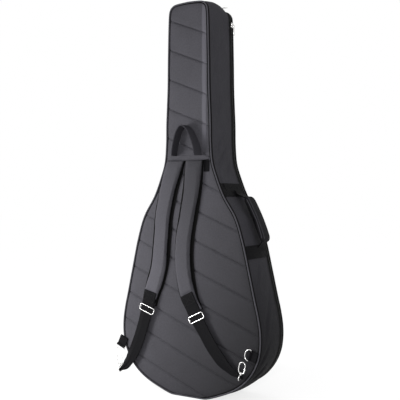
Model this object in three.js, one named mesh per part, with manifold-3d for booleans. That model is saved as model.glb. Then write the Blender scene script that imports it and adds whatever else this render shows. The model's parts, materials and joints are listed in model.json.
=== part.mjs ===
// A padded gig bag for a large acoustic guitar, standing on its bottom seam.
// Units are millimetres. +Z runs up the bag, -Y is the side with the shoulder
// straps, +Y is the lid side and +X is the side with the carry handle.
// The origin is the middle of the flat patch that the bag stands on.
import * as THREE from "three";
import { mergeVertices } from "three/addons/utils/BufferGeometryUtils.js";
import Module from "manifold-3d";

const wasm = await Module();
wasm.setup();

// Driving dimensions
const bagHeight = 1100;
const bagDepth = 143;
const halfDepth = bagDepth / 2;
const restHalfWidth = 45;
const headHalfWidth = 62;
const headRadius = 26;
const outerSkin = 2;
const foamThickness = 12;
const liningSkin = 1.5;
const pipingWidth = 4.5;
const pipingRise = 3.2;
const gap = 0.3;
const tapeWidth = 8.5;

// Shoulder straps
const padThickness = 12;
const padBack = -halfDepth - 4.5;
const padWidth = 57;
const webWidth = 40;
const webThickness = 2.6;
const webMiddle = -87;
const buckleWidth = 52;
const buckleLength = 21;
const buckleWire = 3.5;
const eyeRadius = 8;
const eyeWire = 1.4;
const stemLength = 6;
const hookLength = 44;
const hookHalfWidth = 8.8;
const hookWire = 1.8;
const ringWire = 1.8;
const ringWidth = 34;
const ringDepth = 16;
const ringMiddle = -79;
const tabWidth = 30;

// Carry handle on the gusset
const handleMiddleY = 18;
const gripWidth = 60;
const gripThickness = 12;
const gripTop = 62;
const gripBottom = -74;
const gripRise = 27.5;
const bandDepth = 36;
const upperBandZ = 558;
const lowerBandZ = 389;

// Hang loop at the heel of the neck
const yokeZ = 658;
const loopBaseZ = 672;
const loopHeight = 84;
const loopHalfWidth = 41;
const loopMiddle = 4.5;
const loopStrip = 4;
const loopDepth = 26;

// Accessory pocket on the lid
const pocketHalfWidth = 135;
const pocketLow = 90;
const pocketHigh = 400;
const pocketDepth = 22;
const pocketZipZ = 356;

const colours = {
  shell: 0x4f4e54,
  foam: 0x8c8c88,
  lining: 0x2b2b2e,
  piping: 0x3b3a3f,
  webbing: 0x141416,
  metal: 0xc4c5c8,
  zip: 0x1b1b1d,
};

const bag = new THREE.Group();

// Solids and meshes

function toSolid(geometry) {
  const g = geometry.clone();
  g.deleteAttribute("normal");
  g.deleteAttribute("uv");
  const merged = mergeVertices(g, 1e-4);
  return new wasm.Manifold(
    new wasm.Mesh({
      numProp: 3,
      vertProperties: merged.attributes.position.array,
      triVerts: new Uint32Array(merged.index.array),
    }),
  );
}

function toGeometry(solid) {
  const m = solid.getMesh();
  return new THREE.BufferGeometry()
    .setAttribute("position", new THREE.BufferAttribute(m.vertProperties, 3))
    .setIndex(new THREE.BufferAttribute(m.triVerts, 1));
}

function join(...geometries) {
  return toGeometry(geometries.map(toSolid).reduce((a, b) => a.add(b)));
}

function cut(geometry, ...tools) {
  return toGeometry(tools.map(toSolid).reduce((a, b) => a.subtract(b), toSolid(geometry)));
}

function addMesh(parent, name, geometry, colour, roughness, metalness = 0) {
  const material = new THREE.MeshStandardMaterial({ color: colour, roughness, metalness });
  const mesh = new THREE.Mesh(geometry, material);
  mesh.name = name;
  parent.add(mesh);
  return mesh;
}

// A flat piece drawn in x and z, and thick from yLow to yHigh.
function plate(points, yLow, yHigh, holes = []) {
  const clockwise = THREE.ShapeUtils.isClockWise(points);
  const shape = new THREE.Shape(clockwise ? [...points].reverse() : points);
  holes.forEach((hole) => shape.holes.push(new THREE.Path(hole)));
  const g = new THREE.ExtrudeGeometry(shape, { depth: yHigh - yLow, bevelEnabled: false });
  return g.rotateX(Math.PI / 2).translate(0, yHigh, 0);
}

function box(x0, x1, y0, y1, z0, z1) {
  const g = new THREE.BoxGeometry(x1 - x0, y1 - y0, z1 - z0);
  return g.translate((x0 + x1) / 2, (y0 + y1) / 2, (z0 + z1) / 2);
}

function rod(points, radius, steps, sides = 8) {
  const section = new THREE.Shape();
  for (let i = 0; i < sides; i++) {
    const a = (2 * Math.PI * i) / sides;
    const p = [radius * Math.cos(a), radius * Math.sin(a)];
    if (i === 0) section.moveTo(...p);
    else section.lineTo(...p);
  }
  const path = new THREE.CatmullRomCurve3(points.map((p) => new THREE.Vector3(...p)));
  return new THREE.ExtrudeGeometry(section, { steps, extrudePath: path, bevelEnabled: false });
}

function roundBar(radius, length, sides = 12) {
  return new THREE.CylinderGeometry(radius, radius, length, sides).rotateX(Math.PI / 2);
}

// The bag's outline, seen from the strap side

const sideCurve = new THREE.SplineCurve(
  [
    [restHalfWidth, 0],
    [104, 19],
    [146, 39],
    [175, 61],
    [200, 92],
    [216, 127],
    [222, 160],
    [222, 198],
    [215.5, 240],
    [206, 280],
    [188, 360],
    [169, 440],
    [148, 502],
    [112, 560],
    [90, 612],
    [77, 652],
    [72, 705],
    [71, 765],
    [67, 860],
    [65.5, 960],
    [headHalfWidth, bagHeight - headRadius - 2],
  ].map((p) => new THREE.Vector2(...p)),
);

function halfOutline() {
  const side = sideCurve.points;
  const corner = new THREE.EllipseCurve(
    headHalfWidth - headRadius, bagHeight - headRadius - 2, headRadius, headRadius, 0, Math.PI / 2,
  ).getPoints(4);
  return [...side, ...corner.slice(1), new THREE.Vector2(0, bagHeight)];
}

const rightHalf = halfOutline();
const leftHalf = rightHalf.slice(0, -1).reverse().map((p) => new THREE.Vector2(-p.x, p.y));
const outline = [...rightHalf, ...leftHalf];

// The outline moved inwards by a distance, and never below the floor.
function inset(distance) {
  return outline.map((p, i) => {
    const before = outline[(i + outline.length - 1) % outline.length];
    const after = outline[(i + 1) % outline.length];
    const along = after.clone().sub(before).normalize();
    return new THREE.Vector2(p.x - along.y * distance, Math.max(0, p.y + along.x * distance));
  });
}

function ring(outerInset, innerInset, yLow, yHigh) {
  return plate(inset(outerInset), yLow, yHigh, [inset(innerInset)]);
}

function halfWidthAt(z) {
  const next = rightHalf.findIndex((p) => p.y > z);
  const [a, b] = [rightHalf[next - 1], rightHalf[next]];
  return a.x + ((b.x - a.x) * (z - a.y)) / (b.y - a.y);
}

// Shell of the bag: a back panel, a gusset and a lid, each of fabric, foam and lining

const foamEdge = outerSkin + gap + foamThickness;
const tapeLidLow = halfDepth - outerSkin - gap - tapeWidth + 1;
const tapeBodyLow = tapeLidLow - 0.4 - tapeWidth;
const gussetHigh = tapeBodyLow - gap;
const backInside = -halfDepth + outerSkin + gap;

function addBackPanel() {
  const foamHigh = backInside + foamThickness;
  addMesh(bag, "back_panel_outer", plate(outline, -halfDepth, -halfDepth + outerSkin), colours.shell, 0.85);
  addMesh(bag, "back_panel_foam", plate(inset(foamEdge + gap), backInside, foamHigh), colours.foam, 0.95);
  addMesh(
    bag, "back_panel_lining",
    plate(inset(foamEdge + gap), foamHigh + gap, foamHigh + gap + liningSkin),
    colours.lining, 0.9,
  );
  addMesh(
    bag, "back_piping",
    ring(-1.5, pipingWidth - 1.5, -halfDepth - gap - pipingRise, -halfDepth - gap),
    colours.piping, 0.8,
  );
}

function addGusset() {
  const liningLow = backInside + foamThickness + liningSkin + 2 * gap;
  addMesh(bag, "gusset_outer", ring(0, outerSkin, backInside, gussetHigh), colours.shell, 0.85);
  addMesh(bag, "gusset_foam", ring(outerSkin + gap, foamEdge, backInside, gussetHigh), colours.foam, 0.95);
  addMesh(
    bag, "gusset_lining",
    ring(foamEdge + gap, foamEdge + gap + liningSkin, liningLow + gap, gussetHigh),
    colours.lining, 0.9,
  );
  addMesh(
    bag, "zipper_tape_body",
    ring(0, outerSkin, tapeBodyLow, tapeBodyLow + tapeWidth),
    colours.zip, 0.7,
  );
}

function addLid() {
  const foamHigh = halfDepth - outerSkin - gap;
  const foamLow = foamHigh - foamThickness;
  addMesh(bag, "lid_outer", plate(outline, halfDepth - outerSkin, halfDepth), colours.shell, 0.85);
  addMesh(bag, "lid_foam", plate(inset(outerSkin + 1), foamLow, foamHigh), colours.foam, 0.95);
  addMesh(
    bag, "lid_lining",
    plate(inset(outerSkin + 1), foamLow - gap - liningSkin, foamLow - gap),
    colours.lining, 0.9,
  );
  addMesh(
    bag, "zipper_tape_lid",
    ring(0, outerSkin, tapeLidLow, halfDepth - outerSkin - gap),
    colours.zip, 0.7,
  );
  addMesh(
    bag, "lid_piping",
    ring(-1.5, pipingWidth - 1.5, halfDepth + gap, halfDepth + gap + pipingRise),
    colours.piping, 0.8,
  );
}

// Padding and restraint inside

function addInside() {
  const backLining = backInside + foamThickness + liningSkin + 3 * gap;
  const cradle = cut(
    box(-44, 44, backLining, backLining + 26, 800, 880),
    new THREE.CylinderGeometry(27, 27, 100, 16).rotateX(Math.PI / 2).translate(0, backLining + 38, 840),
  );
  addMesh(bag, "neck_cradle", cradle, colours.foam, 0.95);
  addMesh(bag, "end_pin_pad", box(-36, 36, -30, 34, 17, 22), colours.lining, 0.9);
  addMesh(bag, "neck_strap_anchor", box(-51, -42.5, 27, 29, 824, 856), colours.webbing, 0.8);
  addMesh(bag, "neck_strap", box(-42, 50, 27, 29, 825, 855), colours.webbing, 0.8);
}

// Main zipper sliders and pulls

// A slider in its own frame: travel along z, the bag's surface below it at x = 0.
function sliderBody() {
  return join(
    box(0, 4.5, -5.5, 5.5, -7, 7),
    box(4, 7.5, -1.8, 1.8, -5, -3),
    box(4, 7.5, -1.8, 1.8, 3, 5),
    box(6.5, 8, -1.8, 1.8, -5, 5),
  );
}

// Its pull hangs towards -z from the bridge.
function sliderPull() {
  const points = [
    [-3.2, 1.6], [3.2, 1.6], [3.2, -6], [4.6, -26], [2.8, -30], [-2.8, -30], [-4.6, -26], [-3.2, -6],
  ].map((p) => new THREE.Vector2(...p));
  const hole = [[-2.3, -0.6], [2.3, -0.6], [2.3, -4.6], [-2.3, -4.6]].map((p) => new THREE.Vector2(...p));
  return plate(points, 0, 1.6, [hole]).rotateZ(-Math.PI / 2);
}

function addSlider(parent, name, position, rotation) {
  const frame = new THREE.Group();
  frame.position.set(...position);
  frame.rotation.set(...rotation);
  parent.add(frame);
  addMesh(frame, name + "_slider", sliderBody(), colours.metal, 0.35, 1);
  const pull = addMesh(frame, name + "_pull", sliderPull(), colours.metal, 0.35, 1);
  pull.position.set(8.4, 0, -1.4);
}

function addMainZipperSliders() {
  const zipY = tapeLidLow - 0.2;
  addSlider(bag, "side_zipper", [headHalfWidth + 1.8, zipY, bagHeight - 44], [0, 0, 0]);
  addSlider(bag, "top_zipper", [20, zipY, bagHeight + 0.8], [0, -Math.PI / 2, 0]);
}

// Carry handle: two webbing bands across the gusset, a webbing core and a padded grip

function bandAcrossGusset(zLow, zHigh) {
  const edge = [0, 0.25, 0.5, 0.75, 1].map((t) => zLow + t * (zHigh - zLow));
  const inner = edge.map((z) => new THREE.Vector2(halfWidthAt(z) + 1, z));
  const outer = edge.map((z) => new THREE.Vector2(halfWidthAt(z) + 3.2, z)).reverse();
  return plate([...inner, ...outer], backInside + 1, gussetHigh - 1);
}

const upperFoot = new THREE.Vector2(halfWidthAt(upperBandZ + 4), upperBandZ + 4);
const lowerFoot = new THREE.Vector2(halfWidthAt(lowerBandZ + bandDepth - 4), lowerBandZ + bandDepth - 4);

function addCarryHandle() {
  addMesh(bag, "upper_handle_band", bandAcrossGusset(upperBandZ, upperBandZ + bandDepth), colours.webbing, 0.8);
  addMesh(bag, "lower_handle_band", bandAcrossGusset(lowerBandZ, lowerBandZ + bandDepth), colours.webbing, 0.8);
  const middle = upperFoot.clone().add(lowerFoot).multiplyScalar(0.5);
  const span = upperFoot.distanceTo(lowerFoot);
  const slope = Math.atan2(lowerFoot.x - upperFoot.x, upperFoot.y - lowerFoot.y);
  // In this frame +x leaves the gusset and z runs along the handle.
  const frame = new THREE.Group();
  frame.position.set(middle.x, handleMiddleY, middle.y);
  frame.rotation.set(0, -slope, 0);
  bag.add(frame);
  const coreLow = gripRise - gripThickness / 2 - gap - 3;
  const legs = [[1, gripTop], [-1, -gripBottom]].map(([end, gripEnd]) =>
    plate(
      [[5, span / 2], [8, span / 2], [coreLow + 3, gripEnd - 3], [coreLow, gripEnd - 6]]
        .map(([x, z]) => new THREE.Vector2(x, end * z)),
      -6, 6,
    ),
  );
  const core = box(coreLow, coreLow + 3, -15, 15, gripBottom + 2, gripTop - 2);
  addMesh(frame, "handle_webbing", join(core, ...legs), colours.webbing, 0.8);
  const grip = box(
    gripRise - gripThickness / 2, gripRise + gripThickness / 2,
    -gripWidth / 2, gripWidth / 2, gripBottom, gripTop,
  );
  addMesh(frame, "handle_grip", grip, colours.shell, 0.85);
}

// Strap yoke and hang loop

function addYoke() {
  addMesh(bag, "yoke_band", box(-66, 66, -halfDepth - 2.7, -halfDepth - gap, yokeZ, yokeZ + 24), colours.webbing, 0.8);
  addMesh(bag, "yoke_side_tab", box(58.5, 73, -halfDepth - 2.7, -halfDepth - gap, 627, yokeZ - 1), colours.webbing, 0.8);
}

function addHangLoop() {
  // Half an ellipse on two short legs, drawn from the right foot to the left foot.
  const arch = (halfWidth, height) => [
    new THREE.Vector2(loopMiddle + halfWidth, loopBaseZ),
    ...new THREE.EllipseCurve(loopMiddle, loopBaseZ + 8, halfWidth, height - 8, 0, Math.PI).getPoints(12),
    new THREE.Vector2(loopMiddle - halfWidth, loopBaseZ),
  ];
  const points = [
    ...arch(loopHalfWidth, loopHeight),
    ...arch(loopHalfWidth - loopStrip, loopHeight - loopStrip).reverse(),
  ];
  const loopBack = -halfDepth - pipingRise - gap / 3;
  addMesh(bag, "hang_loop", plate(points, loopBack - loopDepth, loopBack), colours.webbing, 0.8);
}

// Shoulder straps

// A flat strip along a smooth line in x and z, with a width for each point of the line.
function strip(centres, widths, yLow, yHigh, steps = 16, ceiling = bagHeight) {
  const line = new THREE.SplineCurve(centres.map((p) => new THREE.Vector2(...p)));
  const width = new THREE.SplineCurve(widths.map((w, i) => new THREE.Vector2(i, w)));
  const sides = [[], []];
  for (let i = 0; i <= steps; i++) {
    const t = i / steps;
    const p = line.getPoint(t);
    const along = line.getTangent(t);
    const half = width.getPoint(t).y / 2;
    sides[0].push(new THREE.Vector2(p.x - along.y * half, Math.min(ceiling, p.y + along.x * half)));
    sides[1].push(new THREE.Vector2(p.x + along.y * half, Math.min(ceiling, p.y - along.x * half)));
  }
  return plate([...sides[1], ...sides[0].reverse()], yLow, yHigh);
}

function alongY(from, to) {
  return Math.atan2(to[0] - from[0], to[1] - from[1]);
}

// Strap routes: points in x and z on each side
const straps = {
  left: {
    pad: [[-36, yokeZ], [-60, 580], [-77, 505], [-84, 435], [-94, 355], [-117, 284]],
    buckle: [-129, 238],
    webbing: [[-124, 256], [-129, 238], [-143, 200], [-164, 142], [-186, 98], [-206, 69], [-233, 48]],
    eye: [-225, 54],
    nose: [-229, 98],
    tab: [[-217.5, 146], [-228.5, 121]],
  },
  right: {
    pad: [[24, yokeZ], [16, 577], [4, 507], [-8, 437], [-9, 367], [6, 284]],
    buckle: [35, 226],
    webbing: [[27, 244], [35, 226], [53, 194], [80, 152], [112, 114], [140, 93], [178, 77]],
    eye: [169, 79.3],
    nose: [178.6, 122],
    tab: [[213, 133], [194, 139]],
  },
};

function addShoulderPad(side, route) {
  const widths = [54, 57, padWidth, padWidth, padWidth, 48];
  addMesh(
    bag, side + "_shoulder_pad",
    strip(route.pad, widths, padBack - padThickness, padBack, 16, yokeZ - 2),
    colours.shell, 0.85,
  );
  const end = route.pad[route.pad.length - 1];
  const frame = new THREE.Group();
  frame.position.set(end[0], padBack - padThickness - gap, end[1]);
  frame.rotation.set(0, alongY(route.buckle, end), 0);
  bag.add(frame);
  addMesh(frame, side + "_strap_patch", box(-22, 22, -2, 0, 1, 38), colours.webbing, 0.8);
}

function addBuckle(side, route) {
  const frame = new THREE.Group();
  frame.position.set(route.buckle[0], webMiddle, route.buckle[1]);
  frame.rotation.set(0, alongY(route.webbing[2], route.webbing[0]), 0);
  bag.add(frame);
  const w = buckleWidth / 2;
  const l = buckleLength / 2;
  const clear = webThickness / 2 + 0.5;
  const buckle = join(
    box(-w, -w + buckleWire, -clear - buckleWire, clear + buckleWire, -l, l),
    box(w - buckleWire, w, -clear - buckleWire, clear + buckleWire, -l, l),
    box(-w, w, -clear - buckleWire, -clear, l - buckleWire, l),
    box(-w, w, -clear - buckleWire, -clear, -l, -l + buckleWire),
    box(-w, w, clear, clear + buckleWire, -2, 2),
  );
  addMesh(frame, side + "_buckle", buckle, colours.metal, 0.3, 1);
}

function addLowerWebbing(side, route) {
  const widths = [webWidth, webWidth, webWidth, webWidth, webWidth - 6, 17, 5];
  addMesh(
    bag, side + "_strap_webbing",
    strip(route.webbing, widths, webMiddle - webThickness / 2, webMiddle + webThickness / 2, 18),
    colours.webbing, 0.8,
  );
}

// The snap hook: an eye with a swivel stem, a hook and a sprung gate.
// In its own frame z runs from the eye to the nose.
function addSnapHook(side, route) {
  const frame = new THREE.Group();
  frame.position.set(route.eye[0], webMiddle, route.eye[1]);
  frame.rotation.set(0, alongY(route.eye, route.nose), 0);
  bag.add(frame);
  const stemTop = eyeRadius + stemLength;
  const eye = join(
    new THREE.TorusGeometry(eyeRadius, eyeWire, 8, 16).rotateY(Math.PI / 2),
    roundBar(1.8, stemTop - eyeRadius, 10).translate(0, 0, (stemTop + eyeRadius) / 2),
    roundBar(2.8, 1.6, 10).translate(0, 0, stemTop + 0.8),
  );
  addMesh(frame, side + "_hook_eye", eye, colours.metal, 0.3, 1);
  const barrelLow = eyeRadius + 2.2;
  const barrelHigh = stemTop - 0.4;
  const barrelMiddle = (barrelLow + barrelHigh) / 2;
  const barrel = roundBar(3.8, barrelHigh - barrelLow, 12).translate(0, 0, barrelMiddle);
  const bore = roundBar(2.4, 12, 12).translate(0, 0, barrelMiddle);
  const headRoom = roundBar(3.3, 4, 12).translate(0, 0, barrelHigh + 2);
  const w = hookHalfWidth;
  const nose = hookLength - hookWire;
  const bow = rod(
    [
      [-3, 0, barrelHigh - 2], [-w + 1, 0, barrelHigh + 5], [-w, 0, (barrelHigh + nose) / 2], [-w, 0, nose - 9],
      [-w + 3, 0, nose - 2.5], [0, 0, nose], [w - 3, 0, nose - 2.5], [w, 0, nose - 9], [w, 0, nose - 12],
    ],
    hookWire, 22,
  );
  const hinge = rod([[2.6, 0, barrelHigh - 2], [w - 2, 0, barrelHigh + 1], [w, 0, barrelHigh + 4]], 1.6, 4);
  addMesh(frame, side + "_snap_hook", cut(join(barrel, bow, hinge), bore, headRoom), colours.metal, 0.3, 1);
  const gateLow = barrelHigh + 5.6;
  const gateHigh = nose - 12.7;
  const gate = roundBar(1.5, gateHigh - gateLow, 10).translate(w, 0, (gateLow + gateHigh) / 2);
  addMesh(frame, side + "_hook_gate", gate, colours.metal, 0.3, 1);
}

// The side tab holds the D-ring's straight bar in its folded end.
function addSideTab(side, route) {
  const [root, fold] = route.tab;
  const frame = new THREE.Group();
  frame.position.set(fold[0], ringMiddle, fold[1]);
  frame.rotation.set(0, alongY(fold, root), 0);
  bag.add(frame);
  const length = Math.hypot(root[0] - fold[0], root[1] - fold[1]);
  const lie = -halfDepth - gap - pipingRise - gap - ringMiddle;
  const sleeve = new THREE.CylinderGeometry(3.4, 3.4, tabWidth - 4, 12).rotateZ(Math.PI / 2);
  const bore = new THREE.CylinderGeometry(2.3, 2.3, tabWidth + 4, 12).rotateZ(Math.PI / 2);
  const tab = cut(join(box(-tabWidth / 2 + 2, tabWidth / 2 - 2, lie - 2, lie, 0, length), sleeve), bore);
  addMesh(frame, side + "_side_tab", tab, colours.webbing, 0.8);
}

function addRing(side, route) {
  const [root, fold] = route.tab;
  const frame = new THREE.Group();
  frame.position.set(fold[0], ringMiddle, fold[1]);
  frame.rotation.set(0, alongY(fold, root), 0);
  bag.add(frame);
  const w = ringWidth / 2 - ringWire;
  const d = ringDepth - ringWire;
  const bar = new THREE.CylinderGeometry(ringWire, ringWire, 2 * w + ringWire, 10).rotateZ(Math.PI / 2);
  const bow = rod(
    [
      [-w, 0, ringWire / 2], [-w, 0, -d / 3], [-w + 2, 0, -0.7 * d], [-w / 2, 0, -0.95 * d], [0, 0, -d],
      [w / 2, 0, -0.95 * d], [w - 2, 0, -0.7 * d], [w, 0, -d / 3], [w, 0, ringWire / 2],
    ],
    ringWire, 18,
  );
  addMesh(frame, side + "_d_ring", join(bar, bow), colours.metal, 0.3, 1);
}

// Accessory pocket on the lid

function addPocket() {
  const low = halfDepth + gap;
  const high = low + pocketDepth;
  const rounded = (grow) => {
    const w = pocketHalfWidth + grow;
    const r = 24 + grow;
    const corners = [
      [w - r, pocketLow - grow + r, -Math.PI / 2], [w - r, pocketHigh + grow - r, 0],
      [-w + r, pocketHigh + grow - r, Math.PI / 2], [-w + r, pocketLow - grow + r, Math.PI],
    ];
    return corners.flatMap(([x, z, a]) => new THREE.EllipseCurve(x, z, r, r, a, a + Math.PI / 2).getPoints(3));
  };
  const slit = pocketHalfWidth - 22;
  const panel = cut(
    plate(rounded(0), low, high),
    plate(rounded(-2), low - 1, high - 2),
    box(-slit, slit, high - 5, high + 1, pocketZipZ - 7, pocketZipZ + 7),
  );
  addMesh(bag, "pocket_panel", panel, colours.shell, 0.85);
  addMesh(
    bag, "pocket_zipper_tape",
    box(-slit + gap, slit - gap, high - 1.6, high, pocketZipZ - 7 + gap, pocketZipZ + 7 - gap),
    colours.zip, 0.7,
  );
  const zipFrame = new THREE.Group();
  zipFrame.position.set(slit - 14, high + 0.4, pocketZipZ);
  zipFrame.rotation.set(0, Math.PI / 2, 0);
  bag.add(zipFrame);
  const body = sliderBody().rotateZ(Math.PI / 2);
  addMesh(zipFrame, "pocket_slider", body, colours.metal, 0.35, 1);
  const pullFrame = new THREE.Group();
  pullFrame.position.set(slit - 14, high + 0.4 + 8.4, pocketZipZ);
  bag.add(pullFrame);
  addMesh(pullFrame, "pocket_pull", sliderPull().rotateZ(Math.PI / 2), colours.metal, 0.35, 1);
}

addBackPanel();
addGusset();
addLid();
addInside();
addMainZipperSliders();
addCarryHandle();
addYoke();
addHangLoop();
for (const [side, route] of Object.entries(straps)) {
  addShoulderPad(side, route);
  addBuckle(side, route);
  addLowerWebbing(side, route);
  addSnapHook(side, route);
  addSideTab(side, route);
  addRing(side, route);
}
addPocket();

export default bag;
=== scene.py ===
# A padded gig bag for a large acoustic guitar, standing on its bottom seam.
# +Z runs up the bag, -Y is the strap side, +Y is the lid side, +X is the carry handle side.
import json
import math
import bpy
from mathutils import Matrix, Vector, kdtree, noise

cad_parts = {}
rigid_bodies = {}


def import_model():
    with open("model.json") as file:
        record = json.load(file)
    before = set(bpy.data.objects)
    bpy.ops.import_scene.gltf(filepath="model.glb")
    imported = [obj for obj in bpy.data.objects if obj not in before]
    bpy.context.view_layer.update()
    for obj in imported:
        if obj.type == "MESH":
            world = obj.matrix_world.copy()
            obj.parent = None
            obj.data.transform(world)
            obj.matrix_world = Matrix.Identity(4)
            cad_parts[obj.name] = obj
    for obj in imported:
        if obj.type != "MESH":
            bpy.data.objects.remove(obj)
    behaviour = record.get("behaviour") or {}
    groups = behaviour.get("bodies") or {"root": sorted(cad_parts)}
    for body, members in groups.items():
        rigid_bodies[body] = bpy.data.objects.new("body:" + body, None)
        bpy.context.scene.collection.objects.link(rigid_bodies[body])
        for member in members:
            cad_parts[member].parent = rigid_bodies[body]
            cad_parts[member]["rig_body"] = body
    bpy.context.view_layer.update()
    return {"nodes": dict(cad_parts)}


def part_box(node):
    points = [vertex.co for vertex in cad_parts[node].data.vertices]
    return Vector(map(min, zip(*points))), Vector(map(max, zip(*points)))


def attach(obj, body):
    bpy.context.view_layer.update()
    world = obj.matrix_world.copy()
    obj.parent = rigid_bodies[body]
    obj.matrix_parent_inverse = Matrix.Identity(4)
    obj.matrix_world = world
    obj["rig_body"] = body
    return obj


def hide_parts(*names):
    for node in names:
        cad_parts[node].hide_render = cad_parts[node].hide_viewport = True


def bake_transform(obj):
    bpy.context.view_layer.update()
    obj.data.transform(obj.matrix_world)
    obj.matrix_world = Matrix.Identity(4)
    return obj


print("loading the packed frame")
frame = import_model()
scene = bpy.context.scene
mm = 0.001
panelLow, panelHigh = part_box("back_panel_outer")
halfDepth = -panelLow.y
bagHeight = panelHigh.z

# Camera, lights and floor

view = {
    "place": (1.0028, -1.7016, 0.549),
    "turn": (90, 0, 30.63),
    "lens": 61.8,
}
camera = bpy.data.objects.new("camera", bpy.data.cameras.new("camera"))
scene.collection.objects.link(camera)
camera.location = view["place"]
camera.rotation_euler = [math.radians(a) for a in view["turn"]]
camera.data.lens = view["lens"]
camera.data.sensor_width = 36
camera.data.clip_end = 100
scene.camera = camera
scene.view_settings.view_transform = "Standard"

studio = {
    "dome": 1.0,
    "lamps": [
        # name, place, size, watts
        ("key softbox", (-0.85, -0.85, 0.45), 0.5, 25),
        ("right strip", (1.1, -2.3, 0.8), 0.35, 34),
    ],
    "aim": (0, 0, 0.5),
    "floorWidth": 40,
    "floorGlow": 0.75,
}


def softbox(name, spot, size, watts):
    lamp = bpy.data.lights.new(name, "AREA")
    lamp.shape = "DISK"
    lamp.size = size
    lamp.energy = watts
    holder = bpy.data.objects.new(name, lamp)
    scene.collection.objects.link(holder)
    holder.location = spot
    aim = Vector(studio["aim"]) - Vector(spot)
    holder.rotation_euler = aim.to_track_quat("-Z", "Y").to_euler()


for lampSettings in studio["lamps"]:
    softbox(*lampSettings)
dome = bpy.data.worlds.new("studio")
scene.world = dome
dome.use_nodes = True
dome.node_tree.nodes["Background"].inputs["Color"].default_value = (1, 1, 1, 1)
dome.node_tree.nodes["Background"].inputs["Strength"].default_value = studio["dome"]


# Shader maths and materials


class Wire:
    # one socket of a material, where + - * on it add Math nodes
    def __init__(self, tree, socket=None):
        self.tree = tree
        self.socket = socket

    def node(self, kind, settings=None, inputs=None, output=0):
        made = self.tree.nodes.new(kind)
        for key, value in (settings or {}).items():
            setattr(made, key, value)
        for key, value in (inputs or {}).items():
            if isinstance(value, Wire):
                self.tree.links.new(value.socket, made.inputs[key])
            else:
                made.inputs[key].default_value = value
        return Wire(self.tree, made.outputs[output])

    def maths(self, operation, *values):
        return self.node("ShaderNodeMath", {"operation": operation}, dict(enumerate(values)))

    def __add__(self, other):
        return self.maths("ADD", self, other)

    def __sub__(self, other):
        return self.maths("SUBTRACT", self, other)

    def __mul__(self, other):
        return self.maths("MULTIPLY", self, other)

    def __rsub__(self, other):
        return self.maths("SUBTRACT", other, self)

    __radd__ = __add__
    __rmul__ = __mul__

    def sin(self):
        return self.maths("SINE", self)

    def clipped(self):
        return self.node("ShaderNodeClamp", {}, {0: self})

    def mixed(self, first, second):
        # this value picks between two colours
        inputs = {0: self, 6: first, 7: second}
        return self.node("ShaderNodeMix", {"data_type": "RGBA"}, inputs, 2)


def newMaterial(name, looks):
    material = bpy.data.materials.new(name)
    material.use_nodes = True
    tree = material.node_tree
    shader = tree.nodes["Principled BSDF"]
    for key, value in looks.items():
        shader.inputs[key].default_value = value
    return material, Wire(tree), shader


def plug(wire, shader, name):
    wire.tree.links.new(wire.socket, shader.inputs[name])


def axes(start, source):
    # the surface's own metres, from the UV map, or the object's x and z
    coords = start.node("ShaderNodeTexCoord", {}, {}, 2 if source == "UV" else 3)
    parts = [coords.node("ShaderNodeSeparateXYZ", {}, {0: coords}, i) for i in range(3)]
    if source == "UV":
        return coords, parts[0], parts[1]
    return coords, parts[0] + parts[1], parts[2]


def grey(level, warm=0.0):
    return (level * (1 + warm), level, level * (1 - warm), 1)


def charcoal(level):
    return (level * 1.03, level, level * 1.17, 1)


def clothMaterial(name, cloth):
    looks = {"Roughness": cloth["roughness"], "Sheen Weight": cloth["sheen"], "Sheen Roughness": 0.45}
    looks["Specular IOR Level"] = cloth.get("gloss", 0.3)
    material, start, shader = newMaterial(name, looks)
    coords, across, along = axes(start, cloth["source"])
    turns = 2 * math.pi / cloth["pitch"]
    weave = (across * turns).sin() * (along * turns).sin()
    mottle = start.node("ShaderNodeTexNoise", {}, {"Vector": coords, "Scale": 16.0, "Detail": 5.0})
    yarn = start.node("ShaderNodeTexNoise", {}, {"Vector": coords, "Scale": 700.0, "Detail": 2.0})
    slub = start.node("ShaderNodeTexNoise", {}, {"Vector": coords, "Scale": 210.0, "Detail": 3.0})
    level = (mottle * 0.8 + yarn * 0.4 + slub * 1.1 + weave * 0.10 - 0.65).clipped()
    shade = level.mixed(cloth["dark"], cloth["light"])
    if "painted_shade" in cloth:
        # painted shade: the cloth is painted darker against this direction, in place of the light falling
        # off across the bag
        direction, low, high = cloth["painted_shade"]
        place = start.node("ShaderNodeTexCoord", {}, {}, 3)
        run = start.node("ShaderNodeVectorMath", {"operation": "DOT_PRODUCT"}, {0: place, 1: direction}, 1)
        share = ((run - low) * (1 / (high - low))).clipped()
        shade = share.mixed(charcoal(0.001), shade)
    if "painted_highlight" in cloth:
        # painted highlight: a paler stripe where the cloth rolls over the neck seam, standing in for the
        # light it catches there
        place = start.node("ShaderNodeTexCoord", {}, {}, 3)
        x, z = (place.node("ShaderNodeSeparateXYZ", {}, {0: place}, i) for i in (0, 2))
        middle, half, low = cloth["painted_highlight"]
        offset = x - middle
        stripe = (1 - offset.maths("ABSOLUTE", offset) * (1 / half)).clipped()
        share = (stripe * 2).clipped() * ((z - low) * 20).clipped()
        shade = (share * 0.8).clipped().mixed(shade, charcoal(0.062))
    plug(shade, shader, "Base Color")
    plug((mottle * 0.16 + cloth["roughness"] - 0.08).clipped(), shader, "Roughness")
    height = weave * 0.5 + yarn * 0.6
    bump = start.node(
        "ShaderNodeBump", {}, {"Strength": cloth["relief"], "Distance": 0.0006, "Height": height}
    )
    plug(bump, shader, "Normal")
    return material


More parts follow.
